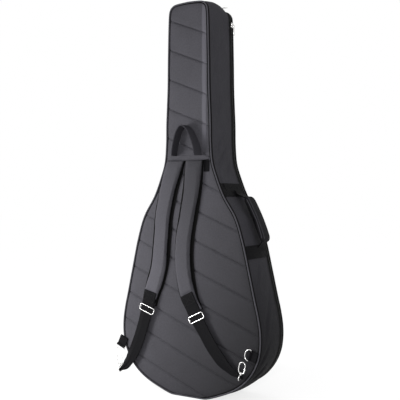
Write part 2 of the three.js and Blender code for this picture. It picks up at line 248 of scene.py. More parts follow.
def webbingMaterial(name, tape):
    looks = {"Roughness": 0.62, "Specular IOR Level": 0.03}
    material, start, shader = newMaterial(name, looks)
    coords, across, along = axes(start, "UV")
    zigzag = (across * (2 * math.pi / tape["chevron"])).sin() * 1.1
    ribs = (along * (2 * math.pi / tape["rib"]) + zigzag).sin()
    fibre = start.node("ShaderNodeTexNoise", {}, {"Vector": coords, "Scale": 900.0, "Detail": 2.0})
    level = (ribs * 0.22 + fibre * 0.7 + 0.1).clipped()
    plug(level.mixed(tape["dark"], tape["light"]), shader, "Base Color")
    bump = start.node(
        "ShaderNodeBump", {}, {"Strength": 0.55, "Distance": 0.0007, "Height": ribs * 0.5 + fibre * 0.4}
    )
    plug(bump, shader, "Normal")
    return material


def steelMaterial(name, looks):
    material, start, shader = newMaterial(name, {"Metallic": 1.0, "Roughness": looks["roughness"]})
    coords = start.node("ShaderNodeTexCoord", {}, {}, 3)
    haze = start.node("ShaderNodeTexNoise", {}, {"Vector": coords, "Scale": 220.0, "Detail": 4.0})
    grain = start.node("ShaderNodeTexNoise", {}, {"Vector": coords, "Scale": 2600.0, "Detail": 1.0})
    plug(haze.mixed(looks["dark"], looks["light"]), shader, "Base Color")
    plug((haze * 0.18 + looks["roughness"] - 0.09).clipped(), shader, "Roughness")
    bump = start.node("ShaderNodeBump", {}, {"Strength": 0.12, "Distance": 0.0002, "Height": grain + haze})
    plug(bump, shader, "Normal")
    return material


def foamMaterial(name, looks):
    material, start, shader = newMaterial(name, {"Roughness": 0.95, "Specular IOR Level": 0.2})
    coords = start.node("ShaderNodeTexCoord", {}, {}, 3)
    cells = start.node("ShaderNodeTexVoronoi", {}, {"Vector": coords, "Scale": looks["cells"]})
    cloud = start.node("ShaderNodeTexNoise", {}, {"Vector": coords, "Scale": 30.0, "Detail": 4.0})
    plug((cells * 0.6 + cloud * 0.5).clipped().mixed(looks["dark"], looks["light"]), shader, "Base Color")
    bump = start.node("ShaderNodeBump", {}, {"Strength": 0.5, "Distance": 0.0008, "Height": cells})
    plug(bump, shader, "Normal")
    return material


print("making the materials")
cloth = {"roughness": 0.72, "sheen": 0.0, "relief": 0.5, "pitch": 0.0013, "source": "UV", "gloss": 0.12}
byObject = {**cloth, "source": "object"}
# painted shade darkens the shell cloth towards the right and the bottom
shellCloth = clothMaterial(
    "charcoal_nylon",
    {**cloth, "dark": charcoal(0.022), "light": charcoal(0.038), "painted_shade": ((-1, 0, 0.45), -0.25, 0.22),
     # painted highlight: a paler stripe on the neck's right edge, beside the seam
     "painted_highlight": (0.052, 0.008, 0.69)},
)
# painted shade darkens the gusset cloth towards the bottom
sideCloth = clothMaterial(
    "charcoal_nylon_side",
    {**cloth, "dark": charcoal(0.018), "light": charcoal(0.034), "gloss": 0.06,
     "painted_shade": ((0, 0, 1), 0.02, 0.5)},
)
# painted shade darkens the strap cloth towards the right and the top
padCloth = clothMaterial(
    "charcoal_nylon_pads",
    {**byObject, "dark": charcoal(0.036), "light": charcoal(0.054),
     "painted_shade": ((-1, 0, -0.25), -0.344, 0.05)},
)
gripCloth = clothMaterial(
    "black_nylon_grip", {**cloth, "dark": charcoal(0.003), "light": charcoal(0.009), "gloss": 0.06}
)
meshCloth = clothMaterial(
    "black_spacer_mesh",
    {**byObject, "dark": grey(0.001), "light": grey(0.003), "pitch": 0.0032, "relief": 1.0, "gloss": 0.05},
)
pipingCloth = clothMaterial(
    "piping_nylon", {**cloth, "dark": charcoal(0.026), "light": charcoal(0.040), "pitch": 0.0009}
)
# painted shade: near-black cords that stand for the shade in sewn seam grooves
grooveShadeCloth = clothMaterial(
    "groove_shade_cord", {**byObject, "dark": grey(0.001), "light": grey(0.003), "gloss": 0.05}
)
liningCloth = clothMaterial(
    "plush_lining",
    {**byObject, "dark": grey(0.010), "light": grey(0.024), "relief": 0.9,
     "pitch": 0.0026, "sheen": 0.4},
)
zipperTape = clothMaterial(
    "zipper_tape", {**cloth, "dark": grey(0.004), "light": grey(0.009), "pitch": 0.0011}
)
tape = {"chevron": 0.010, "rib": 0.0019}
blackWebbing = webbingMaterial(
    "black_webbing", {**tape, "dark": charcoal(0.0008), "light": charcoal(0.0065)}
)
loopWebbing = webbingMaterial(
    "loop_webbing", {**tape, "dark": charcoal(0.008), "light": charcoal(0.036)}
)
sewingThread = clothMaterial(
    "sewing_thread", {**byObject, "dark": grey(0.006), "light": grey(0.014), "pitch": 0.0004}
)
zipperCoil = clothMaterial(
    "zipper_coil", {**byObject, "dark": grey(0.004), "light": grey(0.008), "roughness": 0.4, "gloss": 0.3}
)
platedSteel = steelMaterial(
    "plated_steel", {"roughness": 0.22, "dark": grey(0.62, 0.01), "light": grey(0.86, 0.01)}
)
cutFoam = foamMaterial("grey_foam", {"cells": 900.0, "dark": grey(0.16), "light": grey(0.24)})

# Modelling helpers


def only(*pieces):
    bpy.ops.object.select_all(action="DESELECT")
    for piece in pieces:
        piece.select_set(True)
    bpy.context.view_layer.objects.active = pieces[0]


def inEditMode(piece, *steps):
    # runs edit-mode steps on all of the piece's mesh
    only(piece)
    bpy.ops.object.mode_set(mode="EDIT")
    bpy.ops.mesh.select_all(action="SELECT")
    for step in steps:
        step()
    bpy.ops.object.mode_set(mode="OBJECT")


def closeSeams(piece, reach=0.00002):
    inEditMode(
        piece,
        lambda: bpy.ops.mesh.remove_doubles(threshold=reach),
        lambda: bpy.ops.mesh.normals_make_consistent(inside=False),
    )


def applyModifier(piece, kind, **settings):
    modifier = piece.modifiers.new(kind.lower(), kind)
    for key, value in settings.items():
        setattr(modifier, key, value)
    only(piece)
    bpy.ops.object.modifier_apply(modifier=modifier.name)


def thicken(piece, thickness):
    applyModifier(piece, "SOLIDIFY", thickness=thickness, offset=-1)


def subdivide(piece, levels):
    applyModifier(piece, "SUBSURF", levels=levels, render_levels=levels)


def shapeGrid(name, columns, rows, place, size):
    # a grid whose points are placed by their share across and along, with a UV map in metres
    bpy.ops.object.select_all(action="DESELECT")
    bpy.ops.mesh.primitive_grid_add(x_subdivisions=columns, y_subdivisions=rows, size=2, location=(0, 0, 0))
    piece = bpy.context.object
    piece.name = piece.data.name = name
    mesh = piece.data
    shares = [((v.co.x + 1) / 2, (v.co.y + 1) / 2) for v in mesh.vertices]
    weave = mesh.uv_layers.active.data
    for loop in mesh.loops:
        u, v = shares[loop.vertex_index]
        weave[loop.index].uv = (u * size[0], v * size[1])
    for vertex, (u, v) in zip(mesh.vertices, shares):
        vertex.co = place(u, v)
    return piece


def smoothLine(points, spacing):
    # evenly spaced points on a rounded line through the given ones
    points = [Vector(p) for p in points]
    ends = [2 * points[0] - points[1], *points, 2 * points[-1] - points[-2]]
    fine = []
    for a, b, c, d in zip(ends, ends[1:], ends[2:], ends[3:]):
        knots = [0.0]
        for p, q in ((a, b), (b, c), (c, d)):
            knots.append(knots[-1] + max((q - p).length, 1e-9) ** 0.5)
        for i in range(12):
            t = knots[1] + (knots[2] - knots[1]) * i / 12
            rows = [a, b, c, d]
            for width in (1, 2, 3):
                rows = [
                    rows[j].lerp(rows[j + 1], (t - low) / (high - low))
                    for j in range(4 - width)
                    for low, high in [blossom(knots, width, j)]
                ]
            fine.append(rows[0])
    fine.append(points[-1])
    return evenly(fine, spacing)


def blossom(knots, width, j):
    # the two knots between which one step of the rounded line is mixed
    if width == 1:
        return knots[j], knots[j + 1]
    if width == 2:
        return knots[j], knots[j + 2]
    return knots[1], knots[2]


def evenly(points, spacing):
    lengths = [0.0]
    for p, q in zip(points, points[1:]):
        lengths.append(lengths[-1] + (q - p).length)
    count = max(2, round(lengths[-1] / spacing))
    line, i = [], 0
    for step in range(count + 1):
        wanted = lengths[-1] * step / count
        while i < len(points) - 2 and lengths[i + 1] < wanted:
            i += 1
        share = (wanted - lengths[i]) / max(lengths[i + 1] - lengths[i], 1e-12)
        line.append(points[i].lerp(points[i + 1], min(1.0, share)))
    return line


def along(line, share):
    # the point and direction at a share of an evenly spaced line
    spot = min(max(share, 0.0), 1.0) * (len(line) - 1)
    i = min(int(spot), len(line) - 2)
    point = line[i].lerp(line[i + 1], spot - i)
    before, after = line[max(i - 1, 0)], line[min(i + 2, len(line) - 1)]
    return point, (after - before).normalized()


def lengthOf(line):
    return sum((q - p).length for p, q in zip(line, line[1:]))


def between(values, share):
    # a value between the given ones, rounded off at each
    spot = min(max(share, 0.0), 1.0) * (len(values) - 1)
    i = min(int(spot), len(values) - 2)
    t = spot - i
    t = t * t * (3 - 2 * t)
    return values[i] * (1 - t) + values[i + 1] * t


def wire(name, points, radius, closed=False, sides=3, shares=()):
    # a round bar along the points, whose thickness may change along it
    curve = bpy.data.curves.new(name, "CURVE")
    curve.dimensions = "3D"
    curve.bevel_depth = radius
    curve.bevel_resolution = sides
    curve.use_fill_caps = not closed
    spline = curve.splines.new("POLY")
    spline.points.add(len(points) - 1)
    for spot, p in zip(spline.points, points):
        spot.co = (*p, 1)
    for spot, share in zip(spline.points, shares):
        spot.radius = share
    spline.use_cyclic_u = closed
    piece = bpy.data.objects.new(name, curve)
    scene.collection.objects.link(piece)
    only(piece)
    bpy.ops.object.convert(target="MESH")
    piece = bpy.context.object
    closeSeams(piece)
    return piece


def joined(name, *pieces):
    only(*pieces)
    bpy.ops.object.join()
    piece = bpy.context.object
    piece.name = piece.data.name = name
    return piece


def block(name, low, high, soften=0.0, steps=2):
    # a box between two corners with rounded edges
    bpy.ops.object.select_all(action="DESELECT")
    middle = [(a + b) / 2 for a, b in zip(low, high)]
    bpy.ops.mesh.primitive_cube_add(size=1, location=middle)
    piece = bpy.context.object
    piece.name = piece.data.name = name
    piece.scale = [b - a for a, b in zip(low, high)]
    bpy.ops.object.transform_apply(location=True, rotation=True, scale=True)
    if soften:
        applyModifier(piece, "BEVEL", width=soften, segments=steps, limit_method="ANGLE")
    return piece


def moved(piece, matrix):
    piece.data.transform(matrix)
    return piece


def polish(piece, material, body, stands=(), angle=None):
    # shading, finish, body and the CAD nodes that the piece stands for
    only(piece)
    if angle:
        bpy.ops.object.shade_smooth_by_angle(angle=math.radians(angle))
    else:
        bpy.ops.object.shade_smooth()
    if not piece.data.materials:
        piece.data.materials.append(material)
    if body:
        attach(piece, body)
    if stands:
        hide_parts(*stands)
    return piece


def sideFrame(origin, toward, y):
    # z runs from one point to the other in the plane of the panel, and y stays y
    direction = Vector((toward[0] - origin[0], 0, toward[1] - origin[1])).normalized()
    across = Vector((0, 1, 0)).cross(direction)
    turn = Matrix((across, Vector((0, 1, 0)), direction)).transposed().to_4x4()
    return Matrix.Translation((origin[0] * mm, y * mm, origin[1] * mm)) @ turn


def flat(points, y=0.0):
    return [Vector((x * mm, y * mm, z * mm)) for x, z in points]


def puffUp(piece, puff):
    # cloth pressure swells the stuffed piece, and the capped swelling is kept in the mesh
    only(piece)
    piece.data.remesh_voxel_size = puff["voxel"]
    bpy.ops.object.voxel_remesh()
    before = [v.co.copy() for v in piece.data.vertices]
    clothing = piece.modifiers.new("puff", "CLOTH")
    clothing.point_cache.frame_end = 20
    clothing.settings.quality = 4
    clothing.settings.mass = 0.2
    clothing.settings.use_pressure = True
    clothing.settings.uniform_pressure_force = puff["pressure"]
    clothing.settings.effector_weights.gravity = 0
    clothing.settings.shrink_min = puff.get("shrink", 0)
    clothing.settings.bending_stiffness = puff.get("stiff", 0.5)
    clothing.collision_settings.use_collision = False
    for step in range(1, 21):
        scene.frame_set(step)
    bpy.ops.object.modifier_apply(modifier=clothing.name)
    for vertex, start in zip(piece.data.vertices, before):
        move = vertex.co - start
        if move.length > puff["cap"]:
            vertex.co = start + move * (puff["cap"] / move.length)
    scene.frame_set(1)


def stamp(name, template, matrices):
    # one small shape repeated at each place, as one mesh
    points, faces = [], []
    corners = [v.co.copy() for v in template.data.vertices]
    sides = [list(p.vertices) for p in template.data.polygons]
    for matrix in matrices:
        first = len(points)
        points += [matrix @ c for c in corners]
        faces += [[first + i for i in side] for side in sides]
    mesh = bpy.data.meshes.new(name)
    mesh.from_pydata(points, [], faces)
    piece = bpy.data.objects.new(name, mesh)
    scene.collection.objects.link(piece)
    bpy.data.objects.remove(template)
    return piece


stitch = {"length": 3.4 * mm, "pitch": 4.6 * mm, "width": 0.55 * mm}


def sew(name, lines, outward, body):
    # a thread stitched along each line, half sunk in the cloth
    bpy.ops.object.select_all(action="DESELECT")
    bpy.ops.mesh.primitive_cylinder_add(vertices=6, radius=stitch["width"], depth=stitch["length"])
    thread = bpy.context.object
    inEditMode(thread, lambda: bpy.ops.mesh.subdivide(number_cuts=1))
    for vertex in thread.data.vertices:
        if abs(vertex.co.z) > stitch["length"] * 0.4:
            vertex.co.x *= 0.35
            vertex.co.y *= 0.35
    spots = []
    for line in lines:
        line = evenly(line, stitch["pitch"])
        for p, q in zip(line, line[1:]):
            direction = (q - p).normalized()
            lift = outward(p) if callable(outward) else Vector(outward)
            across = direction.cross(lift).normalized()
            turn = Matrix((across, direction.cross(across), direction)).transposed().to_4x4()
            spots.append(Matrix.Translation((p + q) / 2) @ turn)
    piece = stamp(name, thread, spots)
    return polish(piece, sewingThread, body)


# The bag's outline, read from the CAD panel

print("reading the outline")


def bagOutline():
    # evenly spaced points from the bottom, up the right side and down the left
    mesh = frame["nodes"]["back_panel_outer"].data
    spots = {(round(v.co.x, 5), round(v.co.z, 5)) for v in mesh.vertices if v.co.x > 0.0001}
    right = sorted(spots, key=lambda p: p[1])
    right = [Vector((x, 0, z)) for x, z in right]
    start, top = Vector((0, 0, 0)), Vector((0, 0, bagHeight))
    half = smoothLine([start, *right, top], 2 * mm)
    mirrored = [Vector((-p.x, 0, p.z)) for p in half[-2:0:-1]]
    return half + mirrored


outline = bagOutline()
outlineLength = lengthOf(outline + outline[:1])


def placesIn(line):
    # a line's points, ready for finding the nearest
    tree = kdtree.KDTree(len(line))
    for i, p in enumerate(line):
        tree.insert(p, i)
    tree.balance()
    return tree


outlineTree = placesIn(outline)


def rim(share):
    # the outline's point and outward direction at a share of the way round
    spot = (share % 1.0) * len(outline)
    i = int(spot)
    a, b = outline[i % len(outline)], outline[(i + 1) % len(outline)]
    before, after = outline[(i - 3) % len(outline)], outline[(i + 4) % len(outline)]
    tangent = (after - before).normalized()
    return a.lerp(b, spot - i), Vector((tangent.z, 0, -tangent.x))


def rimShare(x, z):
    # where on the outline the nearest point is
    found = outlineTree.find((x * mm, 0, z * mm))
    return found[1] / len(outline)


def rimGap(x, z):
    # how far a place on the panel is from the outline
    return outlineTree.find((x, 0, z))[2]


# Back panel: quilted in slanting channels, padded between them

quilt = {
    "slant": math.radians(22.6),
    "first": 29 * mm,
    "bay": 83.5 * mm,
    "steps": [0, 1.1, 2.8, 5.5, 10, 15.5, 22, 29, 36, 43, 50, 57, 64, 69.5, 74.5, 78.5, 81.2],
    "columns": 78,
    "seam": 2.0 * mm,
    "flatRise": 2.6 * mm,
    "puff": 3.2 * mm,
    "groove": 2.6 * mm,
    "crown": 1.2 * mm,
    "wave": 1.5 * mm,
    "pucker": 0.8 * mm,
}
lean = math.tan(quilt["slant"])


def panelLevels():
    # slanted rows of the panel, closer together at each sewn channel
    heights = [p.z + lean * p.x for p in outline]
    low, high = min(heights), max(heights)
    levels = [low, low + 1.5 * mm]
    bays = range(-2, 15)
    for bay in bays:
        for step in quilt["steps"]:
            level = quilt["first"] + bay * quilt["bay"] + step * mm
            if low + 3 * mm < level < high - 3 * mm:
                levels.append(level)
    return [*levels, high - 1.5 * mm, high]


def panelEnds():
    # the outline's left and right ends at each slanted level
    heights = [p.z + lean * p.x for p in outline]
    count = len(outline)
    low, high = heights.index(min(heights)), heights.index(max(heights))
    right = [i % count for i in range(low, low + (high - low) % count + 1)]
    left = [i % count for i in range(low, low - (low - high) % count - 1, -1)]

    def reader(chain):
        def at(level):
            lowEnd, highEnd = 0, len(chain) - 1
            while highEnd - lowEnd > 1:
                middle = (lowEnd + highEnd) // 2
                if heights[chain[middle]] <= level:
                    lowEnd = middle
                else:
                    highEnd = middle
            a, b = chain[lowEnd], chain[highEnd]
            share = (level - heights[a]) / max(heights[b] - heights[a], 1e-9)
            return outline[a].x + (outline[b].x - outline[a].x) * min(max(share, 0), 1)

        return at

    return reader(left), reader(right)


levels = panelLevels()
leftEnd, rightEnd = panelEnds()


def bayPlace(level):
    # distance to the nearest channel, square to it
    part = (level - quilt["first"]) / quilt["bay"]
    return abs(part - round(part)) * quilt["bay"] * math.cos(quilt["slant"])


def quiltedRise(x, z, edge):
    level = z + lean * x
    near = bayPlace(level)
    rise = 1 - math.exp(-edge / (8 * mm))
    inside = min(edge / (90 * mm), 1.0)
    puff = quilt["puff"] * (1 - 0.5 * math.exp(-near / (2.2 * mm)) - 0.5 * math.exp(-near / (12 * mm)))
    groove = quilt["groove"] * math.exp(-((near / (1.3 * mm)) ** 2))
    run = x / math.cos(quilt["slant"])
    side = round((level - quilt["first"]) / quilt["bay"])
    pucker = noise.noise(Vector((run / (8 * mm), near / (20 * mm), side * 3.7)))
    pucker *= quilt["pucker"] * math.exp(-near / (11 * mm))
    wave = noise.noise(Vector((x / (70 * mm), 4.2, z / (90 * mm)))) * quilt["wave"]
    crown = quilt["crown"] * inside * inside
    return rise * (quilt["flatRise"] + puff - groove + crown + pucker + wave * inside)


def quiltedFace(x, z, lift=0.0):
    # a point on the quilted panel's outer face, or just above it
    return Vector((x, -(halfDepth - quilt["seam"] + quiltedRise(x, z, rimGap(x, z))) - lift, z))


def plainRise(x, z, edge):
    rise = 1 - math.exp(-edge / (11 * mm))
    inside = min(edge / (90 * mm), 1.0)
    wave = noise.noise(Vector((x / (110 * mm), 8.1, z / (140 * mm)))) * 2.0 * mm
    return rise * (2.6 * mm + 2.4 * mm * inside + wave * inside)


def panelSheet(name, side, base, riseAt):
    # side -1 faces the straps and +1 the lid side
    def place(u, v):
        level = levels[round(v * (len(levels) - 1))]
        low, high = leftEnd(level), rightEnd(level)
        share = u if side < 0 else 1 - u
        x = low + (high - low) * share
        z = level - lean * x
        return Vector((x, side * (base + riseAt(x, z, rimGap(x, z))), z))

    size = (0.44, bagHeight)
    piece = shapeGrid(name, quilt["columns"], len(levels) - 1, place, size)
    closeSeams(piece, 0.0002)
    faceTo(piece, (0, side, 0))
    panelMap(piece)
    return piece


def faceTo(piece, direction):
    # turns an open sheet's faces to the side that they should face
    mesh = piece.data
    total = sum((p.normal * p.area for p in mesh.polygons), Vector())
    if total.dot(Vector(direction)) < 0:
        inEditMode(piece, bpy.ops.mesh.flip_normals)


def panelMap(piece):
    # the weave runs square to the bag, so the map is simply x and z
    mesh = piece.data
    weave = mesh.uv_layers.active.data
    for loop in mesh.loops:
        co = mesh.vertices[loop.vertex_index].co
        weave[loop.index].uv = (co.x, co.z)


print("quilting the back panel")
backPanel = panelSheet("quilted_back_panel", -1, halfDepth - quilt["seam"], quiltedRise)
thicken(backPanel, 1.2 * mm)
polish(backPanel, shellCloth, "bag", ["back_panel_outer"])


def channelLines():
    lines = []
    for bay in range(-1, 14):
        level = quilt["first"] + bay * quilt["bay"]
        if not levels[0] + 6 * mm < level < levels[-1] - 6 * mm:
            continue
        low, high = leftEnd(level) + 5 * mm, rightEnd(level) - 5 * mm
        steps = max(2, int((high - low) / (8 * mm)))
        line = []
        for i in range(steps + 1):
            x = low + (high - low) * i / steps
            line.append(quiltedFace(x, level - lean * x))
        lines.append(line)
    return lines


sew("quilting_thread", channelLines(), (0, -1, 0), "bag")

# Gusset: the padded side that runs all the way round

print("wrapping the gusset")
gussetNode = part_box("gusset_outer")
gusset = {
    "back": gussetNode[0].y,
    "front": gussetNode[1].y + 0.2 * mm,
    "around": 640,
    "across": 30,
    "bodyCrown": 6.5 * mm,
    "neckCrown": 3.0 * mm,
    "waistCrown": 0.6 * mm,
    "headCrown": 9.0 * mm,
    "headFrom": 1.076,
    "headRun": 0.024,
    "seamIn": 1.0 * mm,
    "deepest": -4.4 * mm,
    "shell": 1.4 * mm,
    "foldStrength": 1.5,
}
# folds pressed into the gusset: place on the right side (x, z), share across, length, width, depth, lean
gussetFolds = [
    ((70, 700), 0.35, 46, 7, 2.6, 0.55),
    ((72, 672), 0.52, 60, 8, 3.0, 0.75),
    ((76, 650), 0.30, 44, 6, 2.4, 0.5),
    ((84, 632), 0.62, 48, 7, 2.2, 0.9),
    ((92, 606), 0.18, 30, 6, 2.6, 0.3),
    ((100, 588), 0.14, 24, 5, 2.0, -0.3),
    ((66, 930), 0.30, 90, 10, 1.6, 0.35),
    ((66, 985), 0.55, 70, 10, 1.2, 0.3),
    ((69, 820), 0.4, 80, 10, 1.4, 0.4),
    ((190, 352), 0.35, 60, 9, 1.5, 0.6),
    ((212, 250), 0.45, 80, 11, 1.7, 0.7),
    ((221, 205), 0.25, 60, 8, 1.6, 0.35),
    ((218, 130), 0.2, 60, 9, 2.2, 0.5),
    ((196, 86), 0.3, 60, 9, 2.2, 0.6),
    ((170, 56), 0.5, 60, 9, 1.8, 0.6),
]
placedFolds = [(rimShare(*spot), *rest) for spot, *rest in gussetFolds]


def crownAt(point):
    # the padding stands out most round the body and least at the waist
    body = 1 / (1 + math.exp((point.z - 480 * mm) / (30 * mm)))
    waist = math.exp(-(((point.z - 600 * mm) / (70 * mm)) ** 2))
    crown = gusset["bodyCrown"] * body + gusset["neckCrown"] * (1 - body)
    head = min(1.0, max(0.0, (point.z - gusset["headFrom"]) / gusset["headRun"]))
    crown += gusset["headCrown"] * head * head * (3 - 2 * head)
    return crown * (1 - waist) + gusset["waistCrown"] * waist


def foldDepth(share, v):
    # how far the folds press the cloth in, with a soft lip on either side
    depth = 0.0
    width = gusset["front"] - gusset["back"]
    for place, middle, length, narrow, deep, slope in placedFolds:
        run = (share - place) * outlineLength
        if abs(run) > 0.12:
            continue
        rise = (v - middle) * width
        turn = math.atan(slope)
        s = run * math.cos(turn) + rise * math.sin(turn)
        t = -run * math.sin(turn) + rise * math.cos(turn)
        reach = math.exp(-((s / (length * mm * 0.5)) ** 2))
        dip = (t / (narrow * mm)) ** 2
        depth += gusset["foldStrength"] * deep * mm * reach * (1 - 0.9 * dip) * math.exp(-dip)
    return depth


def gussetPoint(share, v):
    # v is 0 at the back seam and 1 at the zipper
    point, outward = rim(share)
    crown = crownAt(point)
    bow = 1 - abs(2 * v - 1) ** 2.2
    wave = noise.noise(Vector((point.x / (60 * mm), v * 2.4, point.z / (60 * mm)))) * 1.0 * mm
    small = noise.noise(Vector((point.x / (22 * mm), v * 5.5 + 7, point.z / (22 * mm)))) * 0.45 * mm
    held = min(1.0, 6 * v * (1 - v))
    lift = crown * bow + (wave + small - foldDepth(share, v)) * held - gusset["seamIn"]
    spot = point + outward * max(lift, gusset["deepest"])
    spot.y = gusset["back"] + (gusset["front"] - gusset["back"]) * v
    spot.z = max(spot.z, 0.0)
    return spot


gussetSheet = shapeGrid(
    "padded_gusset", gusset["around"], gusset["across"],
    lambda u, v: gussetPoint(u, 1 - v), (outlineLength, gusset["front"] - gusset["back"]),
)
closeSeams(gussetSheet)
thicken(gussetSheet, gusset["shell"])
closeSeams(gussetSheet)
polish(gussetSheet, sideCloth, "bag", ["gusset_outer"])

# Lid: the plain padded front

print("padding the lid")
lidPanel = panelSheet("padded_lid", 1, halfDepth - quilt["seam"], plainRise)
thicken(lidPanel, 1.2 * mm)
polish(lidPanel, shellCloth, "lid", ["lid_outer"])

# Piping round both seams

piping = {
    "radius": 2.1 * mm,
    "tape": 1.9 * mm,
    "out": -0.6 * mm,
    "rise": 1.2 * mm,
    "grooves": [("panel", 0.2, -4.3), ("gusset", -3.6, 0.5)],
    "thin": 0.45,
}


def ropeRound(name, y, radius, out, thin=1.0, spacing=4):
    # thin is the share of the radius left on the sides that face left and up
    points, shares = [], []
    count = len(outline) // spacing
    for i in range(count):
        point, outward = rim(i / count)
        spot = point + outward * out
        points.append(Vector((spot.x, y, max(spot.z, radius))))
        facing = min(1.0, max(0.0, 0.5 + 2 * outward.x))
        shares.append(thin + (1 - thin) * facing)
    return wire(name, points, radius, closed=True, sides=2, shares=shares)


def pipeSeam(side, body, stands):
    # a covered cord on the seam, with a sewn groove on either side of it, whose shade is painted as a
    # near-black cord
    y = side * (halfDepth + piping["rise"])
    bead = ropeRound(stands + "_cord", y, piping["radius"], piping["out"])
    polish(bead, pipingCloth, body, [stands])
    for part, rise, out in piping["grooves"]:
        y = side * (halfDepth + rise * mm)
        groove = ropeRound(f"{stands}_{part}_seam", y, piping["tape"], out * mm, piping["thin"])
        polish(groove, grooveShadeCloth, body)


pipeSeam(-1, "bag", "back_piping")
pipeSeam(1, "lid", "lid_piping")

# Zipper: tapes, two rows of coil, and the fabric hinge where there is no zipper

zipper = {
    "tapeOut": 0.4 * mm,
    "coilPitch": 2.4 * mm,
    "pocketPitch": 2.0 * mm,
    "tooth": 0.7 * mm,
}
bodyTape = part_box("zipper_tape_body")
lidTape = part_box("zipper_tape_lid")
zipStart, zipEnd = rimShare(-206, 92), rimShare(-213, 255)
# the hinge runs from zipEnd down to zipStart on the left side of the body


def tapeStrip(name, low, high, body, stands):
    def place(u, v):
        point, outward = rim(u)
        spot = point + outward * (zipper["tapeOut"] - 0.9 * mm * math.sin(math.pi * v))
        return Vector((spot.x, high + (low - high) * v, max(spot.z, 0.0002)))

    tape = shapeGrid(name, 460, 6, place, (outlineLength, high - low))
    closeSeams(tape)
    thicken(tape, 0.9 * mm)
    closeSeams(tape)
    polish(tape, zipperTape, body, [stands])


tapeStrip("zipper_tape_back_half", bodyTape[0].y, bodyTape[1].y, "bag", "zipper_tape_body")
tapeStrip("zipper_tape_lid_half", lidTape[0].y, halfDepth - 1.0 * mm, "lid", "zipper_tape_lid")


def coilRow(name, y, body, phase):
    # short bars of coil, one for each tooth
    bpy.ops.object.select_all(action="DESELECT")
    bpy.ops.mesh.primitive_cylinder_add(
        vertices=6, radius=zipper["tooth"], depth=3.2 * mm, rotation=(math.pi / 2, 0, 0)
    )
    bpy.ops.object.transform_apply(location=True, rotation=True, scale=True)
    tooth = bpy.context.object
    count = int(outlineLength / zipper["coilPitch"])
    spots = []
    for i in range(count):
        share = (i + phase) / count
        if zipEnd < share < zipStart or share > 1:
            continue
        point, outward = rim(share)
        upward = Vector((-outward.z, 0, outward.x))
        turn = Matrix((outward, Vector((0, 1, 0)), upward)).transposed().to_4x4()
        spot = point + outward * 0.9 * mm
        spots.append(Matrix.Translation((spot.x, y, max(spot.z, 0.8 * mm))) @ turn)
    row = stamp(name, tooth, spots)
    return polish(row, zipperCoil, body)


meeting = (bodyTape[1].y + lidTape[0].y) / 2
coilRow("zipper_coil_back_half", meeting - 1.1 * mm, "bag", 0.0)
coilRow("zipper_coil_lid_half", meeting + 1.1 * mm, "lid", 0.5)


def hingeStrip():
    def place(u, v):
        share = zipEnd + (zipStart - zipEnd) * u
        point, outward = rim(share)
        spot = point + outward * (1.6 * mm + 1.2 * mm * math.sin(math.pi * v))
        y = bodyTape[0].y - 3 * mm
        return Vector((spot.x, halfDepth - 1.5 * mm + (y - halfDepth + 1.5 * mm) * v, spot.z))

    length = (zipStart - zipEnd) * outlineLength
    strip = shapeGrid("hinge_fabric", 40, 12, place, (length, 22 * mm))
    thicken(strip, 1.0 * mm)
    closeSeams(strip)
    polish(strip, shellCloth, None)
    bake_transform(strip)


hingeStrip()

# Foam and plush lining inside

print("lining the inside")


def insetRows(inset):
    # half-widths and heights up the right side of a panel set in from the outline
    rows = []
    for i in range(len(outline) // 2):
        point, outward = rim(i / len(outline))
        spot = point - outward * inset
        betweenEnds = 0.1 * mm < point.z < bagHeight - 0.1 * mm
        if betweenEnds and (not rows or spot.z > rows[-1].z + 0.2 * mm):
            rows.append(spot)
    return evenly(rows, 14 * mm)


def innerPanel(name, node, material, body, inset, wave):
    low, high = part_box(node)
    side = -1 if high.y < 0 else 1
    outer = max(abs(low.y), abs(high.y))
    rows = insetRows(inset)

    def place(u, v):
        row = rows[round(v * (len(rows) - 1))]
        x = (2 * u - 1) * row.x
        rise = noise.noise(Vector((x / (60 * mm), 1.5, row.z / (60 * mm)))) * wave
        return Vector((x, side * (outer + rise), row.z))

    piece = shapeGrid(name, 30, len(rows) - 1, place, (0.44, bagHeight))
    faceTo(piece, (0, side, 0))
    panelMap(piece)
    thicken(piece, high.y - low.y)
    polish(piece, material, body, [node], angle=40)


innerPanel("back_foam_sheet", "back_panel_foam", cutFoam, "bag", 15 * mm, 0)
innerPanel("back_plush", "back_panel_lining", liningCloth, "bag", 15 * mm, 0.15 * mm)
innerPanel("lid_foam_sheet", "lid_foam", cutFoam, "lid", 3.5 * mm, 0)
innerPanel("lid_plush", "lid_lining", liningCloth, "lid", 3.5 * mm, 0.15 * mm)


def innerBand(name, node, material, inset, thickness):
    low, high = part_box(node)

    def place(u, v):
        point, outward = rim(u)
        spot = point - outward * inset
        return Vector((spot.x, high.y + (low.y - high.y) * v, max(spot.z, inset)))

    band = shapeGrid(name, 420, 12, place, (outlineLength, high.y - low.y))
    closeSeams(band)
    thicken(band, thickness)
    closeSeams(band)
    polish(band, material, "bag", [node])


innerBand("gusset_foam_band", "gusset_foam", cutFoam, 6.4 * mm, 7.8 * mm)
innerBand("gusset_plush", "gusset_lining", liningCloth, 14.7 * mm, 1.4 * mm)


